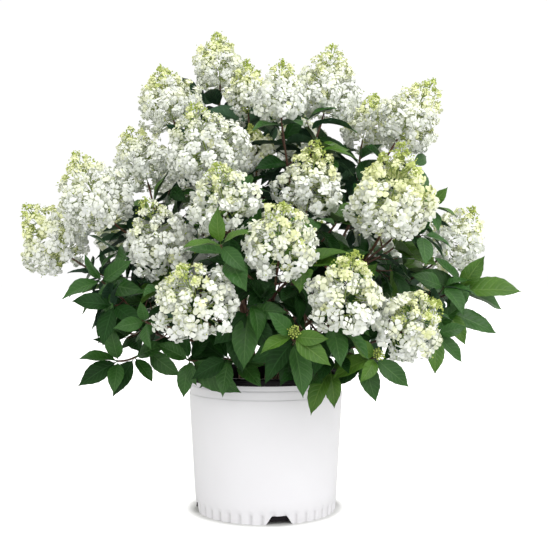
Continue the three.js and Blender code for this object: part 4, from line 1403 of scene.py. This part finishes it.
# Painted shade: the flutes' valleys, deepest at their right-hand edges, are greyed in the colour.
fluteShadeDepth = addNode(tree, "ShaderNodeAttribute", attribute_name="fluteShadeDepth").outputs["Fac"]
edge = maths("MULTIPLY", minus(fluteShadeDepth, potLook["fluteShadeFrom"]), potLook["fluteShadeEdge"], clamp=True)
feed(shader, {
    "Base Color": mixed(edge, dusty, potLook["fluteShade"]),
    "Roughness": ranged(mottled(tree, **potLook["smears"]), (0, 1), potLook["rough"]),
    "Normal": bumped(mottled(tree, **potLook["pebble"]), *potLook["bump"]),
})
potBlack = patchy("pot_black", **potLook["black"])

mesh = meshFrom("pot_shell", points, faces)
mesh.materials.append(potWhite)
mesh.materials.append(potBlack)
whiteRows = len(pot["outside"])
black = [int(i >= (whiteRows - 1) * columns) for i in range(len(faces))]
mesh.polygons.foreach_set("material_index", black)
# How deep each point of the foot lies in its flute, for the painted shade in the valleys.
fluteShadeDepth = [0.0] * len(points)
for i in range(whiteRows * columns):
    fluteShadeDepth[i] = fluteAt(360 * (i % columns) / columns, points[i].z / mm) / pot["ribDepth"]
mesh.attributes.new("fluteShadeDepth", "FLOAT", "POINT").data.foreach_set("value", fluteShadeDepth)
mesh.set_sharp_from_angle(angle=math.radians(pot["sharp"]))
settle(shown("pot_shell", mesh), ["nursery_pot"])

# The potting mix
mix = {
    "radius": 122.2, "top": 203.2, "hump": 0.96, "level": 1.6, "slump": (0.93, 3), "kinds": 5, "columns": 72,
    "skirt": ((118, 60), (122, 170), (122.2, 198)), "rings": 26, "reach": 0.97, "lift": 0.12, "tip": 0.3,
    "fine": 2.2, "chips": (1500, 1.6, 4.6), "perlite": (90, 0.9, 2.2),
}
draw = np.random.default_rng(5)


def mixHeight(x, y):
    wave = math.sin(x * 0.11 + 1.3) * math.cos(y * 0.09 + 0.4) + 0.6 * math.sin(x * 0.23 - y * 0.19)
    edge, deep = mix["slump"]
    slump = deep * max(0.0, math.hypot(x, y) / mix["radius"] - edge) / (1 - edge)
    return mix["top"] - mix["level"] - slump + mix["hump"] * wave


def bedShape(azimuth, radius, height):
    spot = place(azimuth, radius, 0)
    return radius, mixHeight(spot.x, spot.y) if height is None else height


rings = [*mix["skirt"], *((mix["radius"] * share, None) for share in np.linspace(0.98, 0.02, mix["rings"]))]
mixLook = {"colours": ((0.010, 0.007, 0.005), (0.065, 0.038, 0.024)), "roughness": 0.95,
           "patches": {"Size": 0.0035, "Detail": 5.0, "Contrast": 2.6}, "bump": (0.002, 1.0)}
mesh = meshFrom("mix_bed", *lathed(rings, mix["columns"], bedShape))
mesh.materials.append(patchy("mix_brown", **mixLook))
settle(shown("mix_bed", mesh), ["potting_mix"])


# A rough lump of bark or perlite, of radius 1: an icosahedron, stretched and dented.
crumbForm = {"stretch": ((1.25, 0.3), (0.8, 0.2), (0.55, 0.2)), "dent": 0.28, "corner": 1.9}


def crumbMesh(kind):
    golden = (1 + math.sqrt(5)) / 2
    corners = [(a, b * golden, 0) for a in (-1, 1) for b in (-1, 1)]
    corners = corners + [(0, x, y) for x, y, _ in corners] + [(y, 0, x) for x, y, _ in corners]
    stretch = [size + sway(kind, 70 + i, most) for i, (size, most) in enumerate(crumbForm["stretch"])]
    shell = bmesh.new()
    for i, corner in enumerate(corners):
        lump = 1 + sway(kind * 20 + i, 73, crumbForm["dent"])
        shell.verts.new([c * s * lump / crumbForm["corner"] for c, s in zip(corner, stretch)])
    bmesh.ops.convex_hull(shell, input=shell.verts)
    bmesh.ops.recalc_face_normals(shell, faces=shell.faces)
    mesh = bpy.data.meshes.new(f"crumb{kind}")
    shell.to_mesh(mesh)
    shell.free()
    return mesh


def crumbRows(count, low, high):
    rows = []
    for _ in range(count):
        reach, azimuth = mix["radius"] * mix["reach"] * math.sqrt(draw.random()), draw.uniform(0, 360)
        spot = place(azimuth, reach, 0)
        size = between((low, high), draw.random() ** mix["fine"])
        spot.z = mixHeight(spot.x, spot.y) + size * mix["lift"]
        face = Vector((draw.normal(0, mix["tip"]), draw.normal(0, mix["tip"]), 1)).normalized()
        aim = aimRound(face, draw.uniform(0, math.tau))
        rows.append((spot, aim, face, size, int(draw.integers(mix["kinds"]))))
    return rows


crumbShapes = shapeSet("crumb", crumbMesh, mix["kinds"])
crumbLooks = {
    "chips": {"name": "bark_chip", "colours": ((0.018, 0.010, 0.007), (0.12, 0.066, 0.04)),
              "roughness": 0.9, "patches": {"Size": 0.006, "Detail": 4.0, "Contrast": 2.4}},
    "perlite": {"name": "perlite", "colours": ((0.42, 0.40, 0.36), (0.72, 0.70, 0.66)),
                "roughness": 0.9, "patches": {"Size": 0.002, "Contrast": 2.0}},
}
for name, look in crumbLooks.items():
    rows = crumbRows(*mix[name])
    scatter("mix_" + name, rows, crumbShapes, patchy(**look), "mix", ["potting_mix"], Smooth=False)
print("pot and mix made")

# Floor and light
studio = {
    "paper": {"colours": ((0.72, 0.72, 0.72), (0.75, 0.75, 0.75)), "roughness": 0.9,
              "patches": {"Size": 0.4, "Contrast": 0.2}, "gloss": 0.1},
    "glow": 0.75, "shadow": (0.116, 0.142), "reach": 40, "litPoint": (0, 0, 0.45), "sky": 1.16,
    "sides": 0.18, "lean": 0.04, "warm": (1.0, 1.0, 0.95), "seen": 1.02,
}
lights = [
    {"name": "key", "kind": "AREA", "from": (0.9, -0.8, 1.5), "wide": 0.9, "power": 9.0,
     "colour": (0.99, 0.99, 1.0)},
    {"name": "front", "kind": "SUN", "from": (0.1, -1.0, 0.57), "wide": 80, "power": 0.7,
     "colour": (0.985, 0.985, 1.0)},
]
corners = [(x * studio["reach"], y * studio["reach"], 0) for x, y in ((-1, -1), (1, -1), (1, 1), (-1, 1))]
floor = shown("floor", meshFrom("floor", corners, [(0, 1, 2, 3)], smooth=False))
paper = patchy("floor_paper", **studio["paper"])
tree = paper.node_tree
# Painted light: seen by the camera, the floor glows white and so hides the plant's shadow on it; the glow
# fades out towards the pot's foot, which paints the edge of the contact shadow, and inside the foot the floor
# keeps its own shading.
away = addNode(tree, "ShaderNodeVectorMath", operation="LENGTH")
feed(away, {0: addNode(tree, "ShaderNodeTexCoord").outputs["Object"]})
clear = ranged(away.outputs["Value"], studio["shadow"], (0, 1), interpolation_type="SMOOTHSTEP")
clear = times(clear, addNode(tree, "ShaderNodeLightPath").outputs["Is Camera Ray"])
glow = {"Emission Color": mixed(clear, (0, 0, 0), (1, 1, 1)), "Emission Strength": studio["glow"]}
feed(tree.nodes["Principled BSDF"], glow)
floor.data.materials.append(paper)
floor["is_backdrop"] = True
for light in lights:
    lamp = bpy.data.objects.new(light["name"], bpy.data.lights.new(light["name"], light["kind"]))
    if light["kind"] == "SUN":
        lamp.data.angle = math.radians(light["wide"])
    else:
        lamp.data.size = light["wide"]
    lamp.data.energy = light["power"]
    lamp.data.color = light["colour"]
    lamp.location = light["from"]
    lamp.rotation_euler = (Vector(studio["litPoint"]) - lamp.location).to_track_quat("-Z", "Y").to_euler()
    scene.collection.objects.link(lamp)

# The sky dims to the sides and leans a little to the right; where it is seen it stays white.
world = bpy.data.worlds.new("studio")
scene.world = world
world.use_nodes = True
tree = world.node_tree
seen = addNode(tree, "ShaderNodeLightPath").outputs["Is Camera Ray"]
sideways = partsOf(addNode(tree, "ShaderNodeTexCoord").outputs["Generated"])["X"]
dimmed = minus(1.0, times(times(sideways, sideways), studio["sides"]))
lit = times(maths("ADD", dimmed, times(sideways, studio["lean"])), studio["sky"])
strength = maths("ADD", lit, times(seen, minus(studio["seen"], lit)))
feed(tree.nodes["Background"], {"Color": mixed(seen, studio["warm"], (1, 1, 1)), "Strength": strength})
scene.view_settings.view_transform = "Standard"
scene.view_settings.look = "None"
print("studio set")

low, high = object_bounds()
